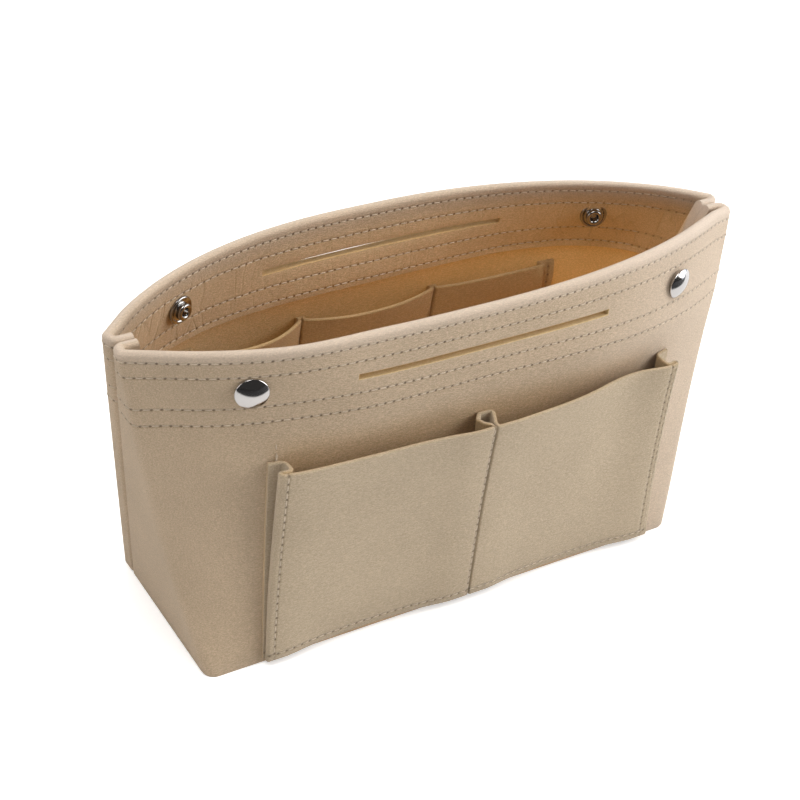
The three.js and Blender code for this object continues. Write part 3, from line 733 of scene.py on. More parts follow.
def gaping(wall, row, drop, depth):
    """The slot's lips bow apart a little, and the rear slot falls towards the outside where it was pulled."""
    up = 1 if drop < SLOT_DROP else -1
    for column in range(slot_columns[0], slot_columns[1] + 1):
        x = row[column].x
        row[column].z += up * SLOT_GAPE * hump(x, 0, SLOT_LENGTH)
        if wall is REAR and depth < HEM / 2:
            row[column].z -= SLOT_SLOPE * hump(x, SLOT_SLOPE_MIDDLE, SLOT_SLOPE_SPAN)


def open_slot(bm, section, rows):
    """Cuts the hand slot through both layers of the hem and joins its two lips."""
    mark = bm.faces.layers.int["column"]
    turns = [i for i, (drop, depth) in enumerate(section) if drop in SLOT_EDGES]
    outer_low, outer_high, inner_high, inner_low = turns
    spare = []
    for face in bm.faces:
        middle = face.calc_center_median() / MM
        column = face[mark] - 1
        if not slot_columns[0] <= column < slot_columns[1]:
            continue
        for low, high in ((outer_low, outer_high), (inner_low, inner_high)):
            corners = rows[low][column:column + 2] + rows[high][column:column + 2]
            spot = sum(corners, Vector()) / len(corners)
            if (spot - middle).length < SMALLEST_RADIUS:
                spare.append(face)
    bmesh.ops.delete(bm, geom=spare, context="FACES")
    reach = (SLOT_LENGTH / 2 + SLOT_MARGIN) * MM
    lips = [e for e in bm.edges if e.is_boundary and all(abs(v.co.x) < reach for v in e.verts)]
    for face in bmesh.ops.bridge_loops(bm, edges=lips)["faces"]:
        face.material_index = 1
    bmesh.ops.bevel(bm, geom=lips, offset=LIP_ROUND * MM, segments=2, profile=0.5, affect="EDGES", material=1)
    cut = [face for face in bm.faces if face.material_index == 1]
    clear_seams(bm, cut)
    guide = rows[outer_high]
    for face in cut:
        x = face.calc_center_median().x / MM
        face[mark] = 1 + min(range(*slot_columns), key=lambda i: abs((guide[i].x + guide[i + 1].x) / 2 - x))
        face.smooth = True


# The pinch
# When a snap is closed the felt round it follows the snap, and the bend dies out before the pockets,
# the side seams and the middle of the wall. Each rule is a slope along the wall and a slope up it.
PINCH_RULES = {
    ("front", -1): {"x": 90.5, "z": 97, "along": 0.0215, "up": 0.03853, "fall": 0.1101},
    ("front", 1): {"x": 99, "z": 97, "along": 0.0235, "up": 0.047, "fall": 0.1229},
    ("rear", -1): {"x": 93.5, "z": 102, "along": 0.0259, "up": 0.0526, "fall": 0.1319},
    ("rear", 1): {"x": 93.5, "z": 102, "along": 0.0259, "up": 0.0526, "fall": 0.1319},
}
SIDE_NAMES = {-1: "left", 1: "right"}


def pinch(piece, wall, side, end):
    """Bakes a piece's place into its mesh. The rule for the bend between the shell and the snap half on its
    side is looked up but not applied; end says that it lies past the snap.
    """
    rule = PINCH_RULES[wall["name"], side]
    constant = -rule["along"] * rule["x"] - rule["up"] * rule["z"]
    if end:
        steep = rule["along"] + rule["fall"]
        constant += steep * PINCH_LINE_SHARE * BASE_LENGTH / 2
    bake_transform(piece)


def wall_spans(wall):
    """Column spans of the four parts of a wall, with the side and whether it lies past the snap."""
    ends = [0, pinch_columns[0], centre_column, pinch_columns[1], last_column]
    sides = [local_side * wall["turn"] for local_side in (-1, -1, 1, 1)]
    return list(zip(ends, ends[1:], sides, (True, False, False, True)))


section = wall_section()
for wall in (FRONT, REAR):
    lengths = [wall_lengths(wall, drop) for drop, depth in section]
    rows = wall_rows(wall, section, lengths)
    sewing = [[(length, drop) for length in row] for row, (drop, depth) in zip(lengths, section)]
    grid = bent_grid(rows, {"sewing": sewing}, [bounce_light_at(*spot) for spot in section],
                     [rim_light_at(*spot) for spot in section])
    open_slot(grid, section, rows)
    for first, last, side, past in wall_spans(wall):
        name = f"{wall['name']}_wall_{SIDE_NAMES[side]}_{'end' if past else 'half'}"
        piece = felt_piece(grid, name, first, last, [wall_felt, cut_felt])
        pinch(piece, wall, side, past)
        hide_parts(f"{wall['name']}_panel")
    grid.free()


# Stitches
# Spun sewing thread, a shade paler than the felt. Each stitch is a short arched length that goes down
# into the felt at both ends; the wall stitches run in four rows on both sides of the hem.
THREAD_RADIUS = 0.24
STITCH_LENGTH = 2.8
THREAD_SIDES = 6
THREAD_RINGS = 4
THREAD_DEEP = (0.50, 0.405, 0.295, 1)
THREAD_PALE = (0.74, 0.62, 0.48, 1)
SPUN_NOISE = (900, 2)
THREAD_MOTTLE = (60, 2)
THREAD_RANGE = (0.3, 0.7)
THREAD_BUMP = 0.1


def thread_material():
    material, tree, shader = new_material("thread")
    place = read_place(tree)
    spun = add_noise(tree, place, *SPUN_NOISE)
    wide = add_noise(tree, place, *THREAD_MOTTLE)
    shade = add_math(tree, "MULTIPLY_ADD", wide, 0.5, times(tree, spun, 0.5))
    color = add_mix(tree, add_ramp(tree, shade, *THREAD_RANGE), THREAD_DEEP, THREAD_PALE)
    takes = {"Base Color": color, "Roughness": 0.7, "Sheen Weight": 0.3}
    dress(tree, shader, takes, spun, strength=0.4, distance=THREAD_BUMP)
    return material


thread = thread_material()
UPRIGHT = Vector((0, 0, 1))
OUTWARD = Vector((0, -1, 0))


def add_stitch(bm, middle, along, outward, length=STITCH_LENGTH):
    across = outward.cross(along).normalized() * THREAD_RADIUS
    deep = outward.normalized() * THREAD_RADIUS
    axes = Matrix((across, deep, along.normalized() * (length / 2))).transposed()
    place = Matrix.Translation(middle * MM) @ (axes * MM).to_4x4()
    bmesh.ops.create_uvsphere(bm, u_segments=THREAD_SIDES, v_segments=THREAD_RINGS, radius=1, matrix=place)


def thread_piece(bm, name):
    for face in bm.faces:
        face.smooth = True
    bmesh.ops.recalc_face_normals(bm, faces=bm.faces)
    return new_piece(bm, name, [thread])


def spot_on_row(row, lengths, length):
    """The column before a length along a row, and the share of the way to the next one."""
    for column in range(len(row) - 1):
        if lengths[column] <= length <= lengths[column + 1]:
            step = max(lengths[column + 1] - lengths[column], WELD)
            return column, (length - lengths[column]) / step
    return None


def between(row, column, share):
    return row[column].lerp(row[column + 1], share)


for wall in (FRONT, REAR):
    spans = wall_spans(wall)
    sewn = [bmesh.new() for span in spans]
    for drop in NEEDLE_ROWS:
        lengths = wall_lengths(wall, drop)
        outer = wall_row(wall, drop, 0)
        inner = wall_row(wall, drop, HEM)
        under = wall_row(wall, drop, HEM + PROBE)
        for column, along in enumerate(column_alongs):
            push_in(inner, under, column, crinkle(wall, along, lengths[column], drop))
        reach = int(lengths[-1] / STITCH_PITCH)
        for number in range(-reach, reach):
            spot = spot_on_row(outer, lengths, (number + 0.5) * STITCH_PITCH)
            if spot is None:
                continue
            place, inside = between(outer, *spot), between(inner, *spot)
            outward = (place - inside).normalized()
            column = spot[0]
            span = next(i for i, (first, last, side, past) in enumerate(spans) if first <= column < last)
            add_stitch(sewn[span], place, outer[column + 1] - outer[column], outward)
            if abs(column_alongs[column]) < FACE_REACH_SHARE:
                add_stitch(sewn[span], inside, inner[column + 1] - inner[column], -outward)
    for bm, (first, last, side, past) in zip(sewn, spans):
        piece = thread_piece(bm, f"{wall['name']}_stitches_{SIDE_NAMES[side]}_{'end' if past else 'half'}")
        pinch(piece, wall, side, past)


# Side seams
# At each end of the box the two walls turn in and lie face to face as fins. The same thread sews the fins
# together, from just below the rim down to the base, and shows on both of them.
SIDE_SEAM_START = 5
for wall in (FRONT, REAR):
    for column, local_side in ((0, -1), (last_column - 1, 1)):
        bm = bmesh.new()
        drop = SIDE_SEAM_START
        while drop < FELT_HEIGHT - FIN_FOOT_DEPTH:
            place = between(wall_row(wall, drop, HEM if drop < HEM_DEPTH else FELT), column, 0.5)
            add_stitch(bm, place, UPRIGHT, place - between(wall_row(wall, drop, 0), column, 0.5))
            drop += STITCH_PITCH
        side = local_side * wall["turn"]
        piece = thread_piece(bm, f"{wall['name']}_side_seam_{SIDE_NAMES[side]}")
        pinch(piece, wall, side, True)


# Base panel
# A flat rectangle of the same felt lies on the ground inside the walls and is sewn to their feet.
# It is die cut with round corners.
BASE_GAP = 0.06
BASE_CORNER = 3.2
base_size = [length - 2 * (FELT + BASE_GAP) for length in (BASE_LENGTH, BASE_WIDTH)] + [FELT]
bm = bmesh.new()
plate = Matrix.Translation((0, 0, FELT / 2 * MM)) @ (Matrix.Diagonal(base_size) * MM).to_4x4()
bmesh.ops.create_cube(bm, size=1, matrix=plate)
upright_edges = [e for e in bm.edges if abs(e.verts[0].co.z - e.verts[1].co.z) > MM]
bmesh.ops.bevel(bm, geom=upright_edges, offset=BASE_CORNER * MM, segments=6, profile=0.5, affect="EDGES",
                material=-1)
# The whole floor felt gets full painted warm bounce light.
bounce_light_layer = bm.verts.layers.float.new("bounce_light")
for vertex in bm.verts:
    vertex[bounce_light_layer] = 1.0
bmesh.ops.recalc_face_normals(bm, faces=bm.faces)
floor_felt = new_piece(bm, "floor_felt", [cut_felt])
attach(floor_felt, "shell")
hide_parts("base_panel")


# Outer pockets
# One strip of felt is laid on the front wall. A flange is sewn down at each end, the strip is folded
# into a pleat there and into a narrow one at the middle seam, and its foot is pressed flat and sewn.
OUTER_FOOT = 2.5
OUTER_TOP = 95.5
PRESSED = 0.5
SEWN_GAP = 0.12
CREASE = 0.3
POCKET_FELT = 1.75
FOOT_STAND = 3.7
FOOT_SEAM = 3.2
BEND_RADIUS = 1.3
BEND_SHARE = 0.8
FOLD_RADIUS = 2.1
MIDDLE_GAP = 0.15
MIDDLE_FOLD = 1
LEG_RADIUS = 0.3
LEFT_LEG = ((0.3, 0.8), (2.4, 0.59), (3.2, 0.305))
LEG_FEET = (1.2, 3.1)
LEG_TOP_SHARE = 0.8
FACE_COLUMNS = 20
FACE_MARGIN_SHARE = 0.05
POCKET_ROWS = 16
STAND_SHARE = 0.77
STAND_POWER = 2.5
FACE_STANDS = (9, 10.8)
RIGHT_DIP = 4.6
DIP_POWER = 2.3
DIP_RISE_POWER = 1.5
FOOT_EDGE_SHARE = 0.25
TOP_EDGE_SHARE = 0.22
LEFT_END = {"flange": -90.5, "bend": -83.2, "fold": -89.9, "fold_foot": -90.2, "stand": 10, "seam": 3}
MIDDLE = {"fold": 1.5, "fold_foot": 5, "stand": 12, "seam": -1.2}
RIGHT_END = {"flange": 98.6, "bend": 91.3, "fold": 97.5, "fold_foot": 100.3, "stand": 12, "seam": -2.4}


def share_at_height(wall, x, z):
    along = x / half_length(z / FELT_HEIGHT)
    for attempt in range(3):
        along = x / half_length(z / rim_top(wall, along))
    return along, z / rim_top(wall, along)


def front_surface(x, z):
    return -wall_width(FRONT, *share_at_height(FRONT, x, z))


def face_points(left, right, left_stand, right_stand, middle_stand, flat=STAND_SHARE, power=STAND_POWER,
                dip=0):
    """Corners along a pocket face, from its stands off the wall, less a dip towards its right end."""
    points = []
    for column in even(FACE_MARGIN_SHARE, 1 - FACE_MARGIN_SHARE, FACE_COLUMNS - 1):
        along = 2 * column - 1
        rise = min(1, abs(along) / flat) ** power
        stand = mix(middle_stand, left_stand if along < 0 else right_stand, rise)
        stand -= dip * math.sin(math.pi * column ** DIP_POWER) ** 2
        points.append(corner(mix(left, right, column), -stand))
    return points


def fold_x(end, share):
    return mix(end["fold_foot"], end["fold"], share)


def seam_x(end, share):
    return fold_x(end, share) + end["seam"]


def fold_stand(end, share):
    return mix(FOOT_STAND, end["stand"], share)


def strip_felt(share):
    """The strip's thickness, squeezed where its layers are sewn together."""
    return min(POCKET_FELT, (fold_stand(LEFT_END, share) - PRESSED) / 3)


def end_corners(end, share):
    """From the flange on the wall, round the bend and back to the fold."""
    felt = strip_felt(share)
    stand = fold_stand(end, share)
    on_wall = -(SEWN_GAP + felt)
    back = 2 * felt + CREASE - stand
    radius = min(BEND_RADIUS, max(on_wall - back, 2 * SMALLEST_RADIUS) / 2 * BEND_SHARE)
    bend = end["bend"] + math.copysign(felt, end["bend"])
    fold = fold_x(end, share)
    fold_radius = felt + CREASE / 2
    return [corner(end["flange"], on_wall), corner(bend, on_wall, radius), corner(bend, back, radius),
            corner((bend + 2 * fold) / 3, back), corner(fold, back, fold_radius),
            corner(fold, -stand, fold_radius)]


def middle_corners(share):
    """The pleat at the middle seam: a curled leg to the wall, the seam, and a slanting leg back."""
    stand = fold_stand(MIDDLE, share)
    on_wall = -(SEWN_GAP + strip_felt(share))
    curl = share ** 2
    left, right = fold_x(MIDDLE, share) - MIDDLE_GAP, fold_x(MIDDLE, share) + MIDDLE_GAP
    leg = [corner(left - out * curl, mix(on_wall, FOLD_RADIUS - stand, part)) for out, part in LEFT_LEG]
    feet = [corner(left - LEG_FEET[0] * curl, on_wall, LEG_RADIUS),
            corner(right + LEG_FEET[1] * curl, on_wall, LEG_RADIUS)]
    leg_top = corner(right, mix(on_wall, FOLD_RADIUS - stand, LEG_TOP_SHARE))
    return [corner(left, -stand, MIDDLE_FOLD)] + leg + feet + [leg_top, corner(right, -stand, MIDDLE_FOLD)]


def outer_walk(share):
    left, middle, right = [fold_x(end, share) for end in (LEFT_END, MIDDLE, RIGHT_END)]
    stands = [fold_stand(end, share) for end in (LEFT_END, MIDDLE, RIGHT_END)]
    bellies = [mix(strip_felt(share) + SEWN_GAP, stand, share) for stand in FACE_STANDS]
    dip = RIGHT_DIP * share ** DIP_RISE_POWER
    return (end_corners(LEFT_END, share)
            + face_points(left, middle, stands[0], stands[1], bellies[0])
            + middle_corners(share)
            + face_points(middle, right, stands[1], stands[2], bellies[1], dip=dip)
            + end_corners(RIGHT_END, share)[::-1])


def outer_height(x, share):
    return mix(OUTER_FOOT, OUTER_TOP, share)


def strip_section():
    """Shares of the height and of the thickness, once round a strip with raw top and bottom edges."""
    round_share = EDGE_ROUND / (OUTER_TOP - OUTER_FOOT)
    shares = even(round_share, 1 - round_share, POCKET_ROWS)
    section = [(0, FOOT_EDGE_SHARE)] + [(share, 0) for share in shares]
    section += [(1, TOP_EDGE_SHARE), (1, 1 - TOP_EDGE_SHARE)] + [(share, 1) for share in reversed(shares)]
    return section + [(0, 1 - FOOT_EDGE_SHARE)]


def strip_rows(walk_at, surface, height_at, felt_at):
    rows = []
    for share, depth in strip_section():
        row = []
        for x, away, top in stations(offset_walk(walk_at(share), depth * felt_at(share))):
            z = height_at(x, share)
            row.append(Vector((x, surface(x, z) + away, z)))
        rows.append(row)
    return rows


def strip_bounce_light(low, high):
    """How much painted warm bounce light each row of a strip gets, low on its outer side and high on its
    inner side.
    """
    return [mix(low, high, depth) for share, depth in strip_section()]


def length_at(row, lengths, span, x):
    """The length along a row where it passes an x, looked for between two columns."""
    for column in range(*span):
        low, high = row[column].x, row[column + 1].x
        if low <= x <= high:
            return mix(lengths[column], lengths[column + 1], (x - low) / max(high - low, WELD))
    return lengths[span[0]] if x < row[span[0]].x else lengths[span[1]]


def seam_maps(rows, tall, seams):
    """Where each point of a strip lies from its upright seams and from the row above its foot.
    The distance changes its sign at each upright seam, so that it is zero nowhere else."""
    upright_map, row_map = [], []
    for row, (share, depth) in zip(rows, strip_section()):
        lengths = row_lengths(row)
        marks = [length_at(row, lengths, span, x_at(share)) for span, x_at in seams]
        line = []
        for length in lengths:
            number = min(range(len(marks)), key=lambda i: abs(length - marks[i]))
            line.append((share * tall, (length - marks[number]) * (-1 if number % 2 else 1)))
        upright_map.append(line)
        row_map.append([(length, share * tall - FOOT_SEAM) for length in lengths])
    return {"sewing": upright_map, "edge_sewing": row_map}


def outer_spot(share, x, span):
    """The point of the strip's outer side at a share of its height and an x, between two columns."""
    row = stations(outer_walk(share))[span[0]:span[1] + 1]
    column = next(i for i in range(len(row) - 1) if row[i][0] <= x <= row[i + 1][0] or i == len(row) - 2)
    part = (x - row[column][0]) / max(row[column + 1][0] - row[column][0], SMALLEST_RADIUS)
    z = outer_height(x, share)
    return Vector((x, front_surface(x, z) + mix(row[column][1], row[column + 1][1], part), z))


def sew_upright(bm, spot_at, tall, low, high):
    """A row of stitches up a strip between two heights; spot_at gives the point at a share of the height."""
    step = STITCH_PITCH / 2 / tall
    for number in range(math.ceil(low / STITCH_PITCH), math.floor(high / STITCH_PITCH)):
        middle = (number + 0.5) * STITCH_PITCH / tall
        add_stitch(bm, spot_at(middle), spot_at(middle + step) - spot_at(middle - step), OUTWARD)


def sew_along(bm, spot_at, low, high):
    """A row of stitches along a strip between two places; spot_at gives the point at an x."""
    x = low
    step = STITCH_PITCH / 2
    while x < high:
        add_stitch(bm, spot_at(x), spot_at(x + step) - spot_at(x - step), OUTWARD)
        x += STITCH_PITCH


def facing(surface, x, z):
    """The point of a wall's surface at an x and a height, and the way that it faces, towards the front."""
    place = Vector((x, surface(x, z), z))
    beside = Vector((x + FELT, surface(x + FELT, z), z))
    below = Vector((x, surface(x, z - FELT), z - FELT))
    return place, (beside - place).cross(place - below).normalized()


def swing(piece, surface, x, top):
    """Bakes a pleat's place into its mesh. The wall's facing at the pleat is read, but no bend between the
    wall and the pocket face is applied.
    """
    place, outward = facing(surface, x, top)
    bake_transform(piece)


outer_tall = OUTER_TOP - OUTER_FOOT
arc = CORNER_STEPS + 1
left_back = 1 + 2 * arc
left_face = left_back + 2 * arc
leg_start = left_face + FACE_COLUMNS + arc
wall_seam = leg_start + 3 + arc
leg_end = wall_seam + arc + 1
right_face = leg_end + arc + FACE_COLUMNS
right_back = right_face + 2 * arc + 1
rows = strip_rows(outer_walk, front_surface, outer_height, strip_felt)
strip_end = len(rows[0]) - 1
left_span, right_span = (left_face, leg_start), (leg_end, right_face)
outer_seams = [(span, lambda share, end=end: seam_x(end, share))
               for span, end in ((left_span, LEFT_END), (left_span, MIDDLE), (right_span, RIGHT_END))]
grid = bent_grid(rows, seam_maps(rows, outer_tall, outer_seams), strip_bounce_light(0, 0.5))
outer_parts = [
    ("outer_left_pleat", 0, left_back, "outer_left_face", LEFT_END, "outer_pocket_left_pleat"),
    ("outer_left_front", left_back, leg_start, None, None, "outer_pocket_left_face"),
    ("outer_middle_left_leg", leg_start, wall_seam, "outer_left_face", MIDDLE, "outer_pocket_middle_pleat"),
    ("outer_middle_right_leg", wall_seam, leg_end, "outer_right_face", MIDDLE, "outer_pocket_middle_pleat"),
    ("outer_right_front", leg_end, right_back, None, None, "outer_pocket_right_face"),
    ("outer_right_pleat", right_back, strip_end, "outer_right_face", RIGHT_END, "outer_pocket_right_pleat"),
]
for name, first, last, bends_to, end, node in outer_parts:
    piece = felt_piece(grid, name, first, last, [pocket_felt])
    if bends_to:
        x = end.get("bend", end["fold"])
        swing(piece, front_surface, x, OUTER_TOP)
    else:
        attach(piece, f"{name.removesuffix('_front')}_face")
    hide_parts(node)
grid.free()

foot_share = FOOT_SEAM / outer_tall
middle_foot = MIDDLE["fold_foot"] - MIDDLE["seam"]
outer_sewing = [
    ("left", left_span, (LEFT_END, MIDDLE), seam_x(LEFT_END, foot_share), seam_x(MIDDLE, foot_share)),
    ("right", right_span, (RIGHT_END,), middle_foot, seam_x(RIGHT_END, foot_share)),
]
for side, span, ends, foot_low, foot_high in outer_sewing:
    bm = bmesh.new()
    for end in ends:
        sew_upright(bm, lambda share: outer_spot(share, seam_x(end, share), span), outer_tall, FOOT_SEAM,
                    outer_tall)
    sew_along(bm, lambda x: outer_spot(foot_share, x, span), foot_low, foot_high)
    piece = thread_piece(bm, f"outer_{side}_pocket_stitches")
    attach(piece, f"outer_{side}_face")

# The flange seams run on above the pockets, where they are sewn to the wall and locked.
FLANGE_SEAM = 3.6
RUN_ON = {"left": 7, "right": 3}
LOCK_HEIGHT = 0.6
LOCK_LEANS = (-0.3, 0, 0.3)


def on_wall(x, z):
    return Vector((x, front_surface(x, z), z))


bm = bmesh.new()
for side, end in (("left", LEFT_END), ("right", RIGHT_END)):
    x = end["flange"] - math.copysign(FLANGE_SEAM, end["flange"])
    z = OUTER_TOP + STITCH_PITCH / 2
    while z < OUTER_TOP + RUN_ON[side]:
        add_stitch(bm, on_wall(x, z), UPRIGHT, OUTWARD)
        z += STITCH_PITCH
    for lean in LOCK_LEANS:
        add_stitch(bm, on_wall(x, OUTER_TOP + LOCK_HEIGHT), Vector((lean, 0, 1)), OUTWARD, STITCH_PITCH)
piece = thread_piece(bm, "flange_stitches")
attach(piece, "shell")


# Inner pockets
# A second strip is sewn to the inside of the rear wall. It is folded out into three pockets, with a
# flange at each end, and its top edge rises a little towards both ends.
INNER_FOOT = 9
INNER_TOP = 96.5
INNER_RISE = 6
INNER_STOPS = (-89.5, -34, 31, 83)
INNER_FLANGE = 5
INNER_STANDS = (4.6, 3.4, 3.4, 4.6)
INNER_FOOT_STAND = 3.3
INNER_FOOT_FELT = 1.2
INNER_BELLIES = (13.3, 9.4, 5.6)
INNER_POWER = 2.2
INNER_GAP = 0.35
INNER_BOUNCE_SHARE = 0.75


def rear_surface(x, z):
    return wall_width(REAR, *share_at_height(REAR, -x, z))


def rear_inner_surface(x, z):
    return rear_surface(x, z) - FELT


def inner_felt(share):
    return mix(INNER_FOOT_FELT, POCKET_FELT, min(1, 3 * share))


def inner_height(x, share):
    return mix(INNER_FOOT, INNER_TOP + INNER_RISE * (x / INNER_STOPS[0]) ** 2, share)


def inner_walk(share):
    """Along the left flange, then out to each pocket, along its face and back to the wall."""
    on_felt = SEWN_GAP + inner_felt(share)
    walk = [corner(INNER_STOPS[0] - INNER_FLANGE, -on_felt)]
    stands = [mix(INNER_FOOT_STAND, stand, share) for stand in INNER_STANDS]
    radii = [min(FOLD_RADIUS, (stand - on_felt) * BEND_SHARE) for stand in stands]
    for i, belly in enumerate(INNER_BELLIES):
        left = INNER_STOPS[i] + (INNER_GAP if i else 0)
        right = INNER_STOPS[i + 1] - (INNER_GAP if i < 2 else 0)
        walk += [corner(left, -on_felt), corner(left, -stands[i], radii[i])]
        walk += face_points(left, right, stands[i], stands[i + 1], mix(on_felt, belly, share), 1, INNER_POWER)
        walk += [corner(right, -stands[i + 1], radii[i + 1]), corner(right, -on_felt)]
    return walk + [corner(INNER_STOPS[-1] + INNER_FLANGE, -on_felt)]


rows = strip_rows(inner_walk, rear_inner_surface, inner_height, inner_felt)
strip_end = len(rows[0]) - 1
face_columns = FACE_COLUMNS + 2 * arc - 1
inner_seams = [((0, 1), lambda share: INNER_STOPS[0] - INNER_FLANGE / 2),
               ((strip_end - 1, strip_end), lambda share: INNER_STOPS[-1] + INNER_FLANGE / 2)]
inner_maps = seam_maps(rows, INNER_TOP - INNER_FOOT, inner_seams)
grid = bent_grid(rows, inner_maps, strip_bounce_light(INNER_BOUNCE_SHARE, 1))
inner_faces = [("left", "left_end", "left_divide_left_leg", 1),
               ("middle", "left_divide_right_leg", "right_divide_left_leg", 1),
               ("right", "right_divide_right_leg", "right_end", 2)]
column = 0
for i, (name, before, after, leg_columns) in enumerate(inner_faces):
    face = f"inner_{name}_face"
    first = column + 2
    last = first + face_columns
    parts = [(before, column, first, i), (f"{name}_front", first, last, None),
             (after, last, last + leg_columns, i + 1)]
    for part, low, high, stop in parts:
        piece = felt_piece(grid, f"inner_{part}", low, high, [pocket_felt])
        if stop is None:
            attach(piece, face)
            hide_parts(f"inner_pocket_{name}_face")
        else:
            swing(piece, rear_inner_surface, INNER_STOPS[stop], INNER_TOP)
            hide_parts(f"inner_pocket_{part.removesuffix('_left_leg').removesuffix('_right_leg')}")
    column = last + leg_columns
grid.free()


# Press snaps
# Chromed press snaps: a domed cap outside each wall, its post through the felt, a socket with a split
# ring spring on the front wall and a ball stud in a ring flange on the rear one.
RUB_NOISE = (700, 3, 0.6)
CLOUD_NOISE = (160, 2)
CLOUD_SHARE = 1.06
RUB_RANGE = (0.35, 0.8)
RUB_ROUGHNESS = 0.12
METAL_BUMP = 0.05


def metal_material(name, color, roughness):
    material, tree, shader = new_material(name)
    place = read_place(tree)
    clouded = add_noise(tree, place, *CLOUD_NOISE)
    pale = tuple(value * CLOUD_SHARE for value in color[:3]) + (1,)
    rubbed = add_noise(tree, place, *RUB_NOISE)
    rough = add_ramp(tree, rubbed, *RUB_RANGE, roughness, roughness + RUB_ROUGHNESS)
    takes = {"Base Color": add_mix(tree, clouded, color, pale), "Roughness": rough, "Metallic": 1}
    dress(tree, shader, takes, clouded, strength=0.12, distance=METAL_BUMP)
    return material


chrome = metal_material("chrome", (0.52, 0.50, 0.49, 1), roughness=0.06)
nickel = metal_material("nickel", (0.36, 0.35, 0.34, 1), roughness=0.14)
spring_steel = metal_material("spring_steel", (0.42, 0.42, 0.43, 1), roughness=0.25)
for node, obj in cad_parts.items():
    if node.startswith("snap_"):
        obj.data.materials.clear()
        obj.data.materials.append(spring_steel if "spring" in node else chrome)

# The caps and studs are turned shapes, drawn as a radius and a height above the felt they sit on. The dome
# is pressed from sheet with a rolled edge, and the stud's tube is flared over its ring flange.
SNAP_X = {"front": 97.6, "rear": 99.7}
SNAP_Z = 127.7
TURN_STEPS = 64
METAL_EDGE_ANGLE = math.radians(50)
CAP_RADIUS = 6.5
CAP_EDGE = 1.1
CAP_HEIGHT = 3.6
CAP_SEAT = 0.75
CAP_TAPER = 0.4
CAP_BACK_SHARE = 0.8
CAP_DEPTH = 1
STUD_SEAT = 0.8
POST_RADIUS = 1.5
ROLL_STEPS = 6
DOME_STEPS = 12
STUD_PROFILE = [(0, 0.8), (1.1, 0.8), (1.5, 1.1), (1.6, 2.4), (1.85, 3.0), (2.35, 3.35), (2.95, 3.35),
                (3.4, 3.0), (3.55, 2.5), (3.45, 1.9), (3.15, 1.3), (3.2, 0.9), (3.6, 0.6), (4.2, 0.5),
                (4.6, 0.75), (5.0, 1.15), (5.4, 1.15), (5.75, 0.8), (5.85, 0.35), (5.7, 0), (5, -1.6),
                (0, -1.6)]


def cap_profile():
    profile = [(0, -HEM), (POST_RADIUS, -HEM), (POST_RADIUS, -CAP_DEPTH),
               (CAP_BACK_SHARE * CAP_RADIUS, -CAP_DEPTH), (CAP_RADIUS - CAP_TAPER, CAP_SEAT)]
    for turn in even(-math.pi / 3, math.pi / 3, ROLL_STEPS):
        radius = CAP_RADIUS + CAP_EDGE / 2 * (math.cos(turn) - 1)
        profile.append((radius, CAP_SEAT + CAP_EDGE / 2 * (1 + math.sin(turn))))
    edge_radius, edge_height = profile[-1]
    for share in even(1, 0, DOME_STEPS)[1:]:
        profile.append((edge_radius * share, mix(CAP_HEIGHT, edge_height, share ** 2)))
    return profile


def turned_piece(name, profile, seat, out, metal):
    """A profile turned once round the line that stands out of its seat."""
    bm = bmesh.new()
    chain = [bm.verts.new(Vector((radius, 0, height)) * MM) for radius, height in profile]
    edges = [bm.edges.new(pair) for pair in zip(chain, chain[1:])]
    bmesh.ops.spin(bm, geom=chain + edges, cent=(0, 0, 0), axis=UPRIGHT, steps=TURN_STEPS, angle=2 * math.pi,
                   use_merge=True)
    bmesh.ops.remove_doubles(bm, verts=bm.verts, dist=WELD * MM)
    bmesh.ops.recalc_face_normals(bm, faces=bm.faces)
    for face in bm.faces:
        face.smooth = True
    soften(bm, METAL_EDGE_ANGLE)
    turned = out.to_track_quat("Z", "Y").to_matrix().to_4x4()
    bmesh.ops.transform(bm, matrix=Matrix.Translation(seat * MM) @ turned, verts=bm.verts)
    return new_piece(bm, name, [metal])


for side, side_name in SIDE_NAMES.items():
    for wall, surface in ((FRONT, front_surface), (REAR, rear_surface)):
        wall_name = wall["name"]
        place, out = facing(surface, side * SNAP_X[wall_name], SNAP_Z)
        out = (Vector((out.x, out.y, 0)) * wall["turn"]).normalized()
        body = f"{side_name}_{wall_name}_snap"
        cap = turned_piece(f"cap_{wall_name}_{side_name}", cap_profile(), place, out, chrome)
        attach(cap, body)
        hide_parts(f"snap_cap_{wall_name}_{side_name}")
        if wall is REAR:
            seat = place - out * (HEM + STUD_SEAT)
            stud = turned_piece(f"stud_{side_name}", STUD_PROFILE, seat, -out, nickel)
            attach(stud, body)
            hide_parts(f"snap_stud_{side_name}")


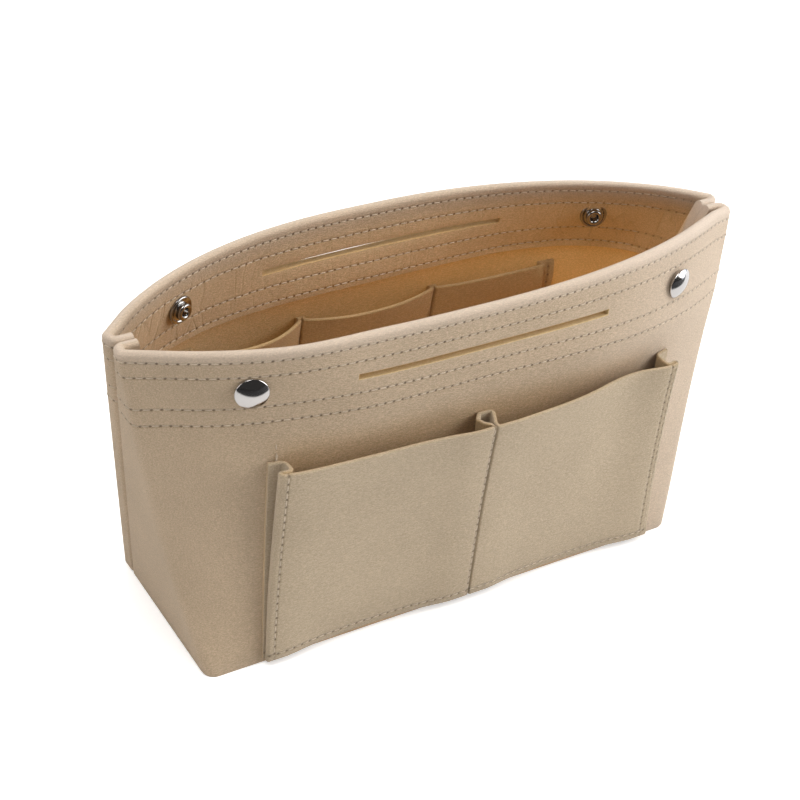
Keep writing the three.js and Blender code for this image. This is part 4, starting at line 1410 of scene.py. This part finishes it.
# Light
# A photographer's white studio in metres: a wide soft key light from the upper right, a softer one from
# above, a weak fill from the left and a cool panel low on the right, in an even pale room.
LAMPS = [("key_light", (1.2, -0.6, 0.7), (0, 0, 0.08), 1.5, 21, (1, 0.985, 0.965)),
         ("top_light", (-0.3, 0.05, 1.3), (0, 0, 0.05), 0.9, 13, (1, 0.99, 0.975)),
         ("fill_light", (-1.2, 0.2, 0.5), (0, 0, 0.07), 0.9, 3, (1, 0.98, 0.97)),
         ("side_light", (0.95, -0.12, 0.3), (0.12, 0, 0.09), 1.3, 3.6, (0.8, 0.91, 1))]
ROOM_COLOR = (1, 0.985, 0.965, 1)
ROOM_LIGHT = 0.2
ROOM_SEEN = 0.8
ROOM_SHINE = -0.15
for name, place, aim, size, power, color in LAMPS:
    data = bpy.data.lights.new(name, "AREA")
    data.shape = "DISK"
    data.size = size
    data.energy = power
    data.color = color
    light = bpy.data.objects.new(name, data)
    light.location = place
    light.rotation_euler = (Vector(aim) - Vector(place)).to_track_quat("-Z", "Y").to_euler()
    bpy.context.collection.objects.link(light)

world = bpy.data.worlds.new("studio")
bpy.context.scene.world = world
world.use_nodes = True
tree = world.node_tree
path = tree.nodes.new("ShaderNodeLightPath").outputs
seen = add_math(tree, "MULTIPLY_ADD", path["Is Camera Ray"], ROOM_SEEN, ROOM_LIGHT)
shine = add_math(tree, "MULTIPLY_ADD", path["Is Glossy Ray"], ROOM_SHINE, seen)
feed(tree, tree.nodes["Background"], {"Color": ROOM_COLOR, "Strength": shine})


# Ground
# A sheet of pale matt paper on a table, in metres. It shows nearly white, and past the table's front edge
# its colour is painted dark for reflected rays only: a painted reflection of a dark room.
PAPER_HALF = 1.5
PAPER_COLORS = ((0.90, 0.90, 0.90, 1), (0.92, 0.92, 0.92, 1))
PAPER_NOISE = (40, 2)
PAPER_GLOW = 0.4
DARK_ROOM_REFLECTION = (0.03, 0.03, 0.032, 1)
TABLE_FRONT = (-0.26, -0.2)
WHITE = (1, 1, 1, 1)
bm = bmesh.new()
bmesh.ops.create_grid(bm, x_segments=2, y_segments=2, size=PAPER_HALF)
ground_paper, tree, shader = new_material("ground_paper")
place = read_place(tree)
path = tree.nodes.new("ShaderNodeLightPath").outputs
paper = add_mix(tree, add_noise(tree, place, *PAPER_NOISE), *PAPER_COLORS)
# Painted reflection: reflected rays find the paper dark past the table's front edge.
beyond = add_ramp(tree, split_up(tree, place)[1], *TABLE_FRONT, 1, 0)
feed(tree, shader, {"Base Color": paint_in(tree, beyond, path["Is Glossy Ray"], paper, DARK_ROOM_REFLECTION),
                    "Roughness": 0.9, "Emission Color": WHITE,
                    "Emission Strength": times(tree, path["Is Camera Ray"], PAPER_GLOW)})
ground = new_piece(bm, "ground", [ground_paper])


# Camera
# A long lens that looks down on the left end of the front wall. Its place and turn come from lines
# measured on the object, and the angles are in radians.
CAMERA_TURN = 0.615937
CAMERA_RISE = 0.616445
CAMERA_ROLL = 0.122049
CAMERA_AIM = (-108.54, -137.01, 198.56)
CAMERA_DISTANCE = 518.75
FOCAL_PIXELS = 1783.14
PICTURE_PIXELS = 800
SENSOR = 36
NEAREST = 0.01
across = Vector((math.sin(CAMERA_TURN), math.cos(CAMERA_TURN), 0))
forward = across * math.cos(CAMERA_RISE) - UPRIGHT * math.sin(CAMERA_RISE)
level = forward.cross(UPRIGHT).normalized()
upright = level.cross(forward)
right = level * math.cos(CAMERA_ROLL) + upright * math.sin(CAMERA_ROLL)
up = upright * math.cos(CAMERA_ROLL) - level * math.sin(CAMERA_ROLL)
camera_data = bpy.data.cameras.new("camera")
camera_data.sensor_width = SENSOR
camera_data.lens = FOCAL_PIXELS * SENSOR / PICTURE_PIXELS
camera_data.clip_start = NEAREST
camera = bpy.data.objects.new("camera", camera_data)
turned = Matrix((right, up, -forward)).transposed().to_4x4()
camera.matrix_world = Matrix.Translation((Vector(CAMERA_AIM) - forward * CAMERA_DISTANCE) * MM) @ turned
bpy.context.collection.objects.link(camera)
bpy.context.scene.camera = camera
bpy.context.scene.view_settings.view_transform = "Standard"
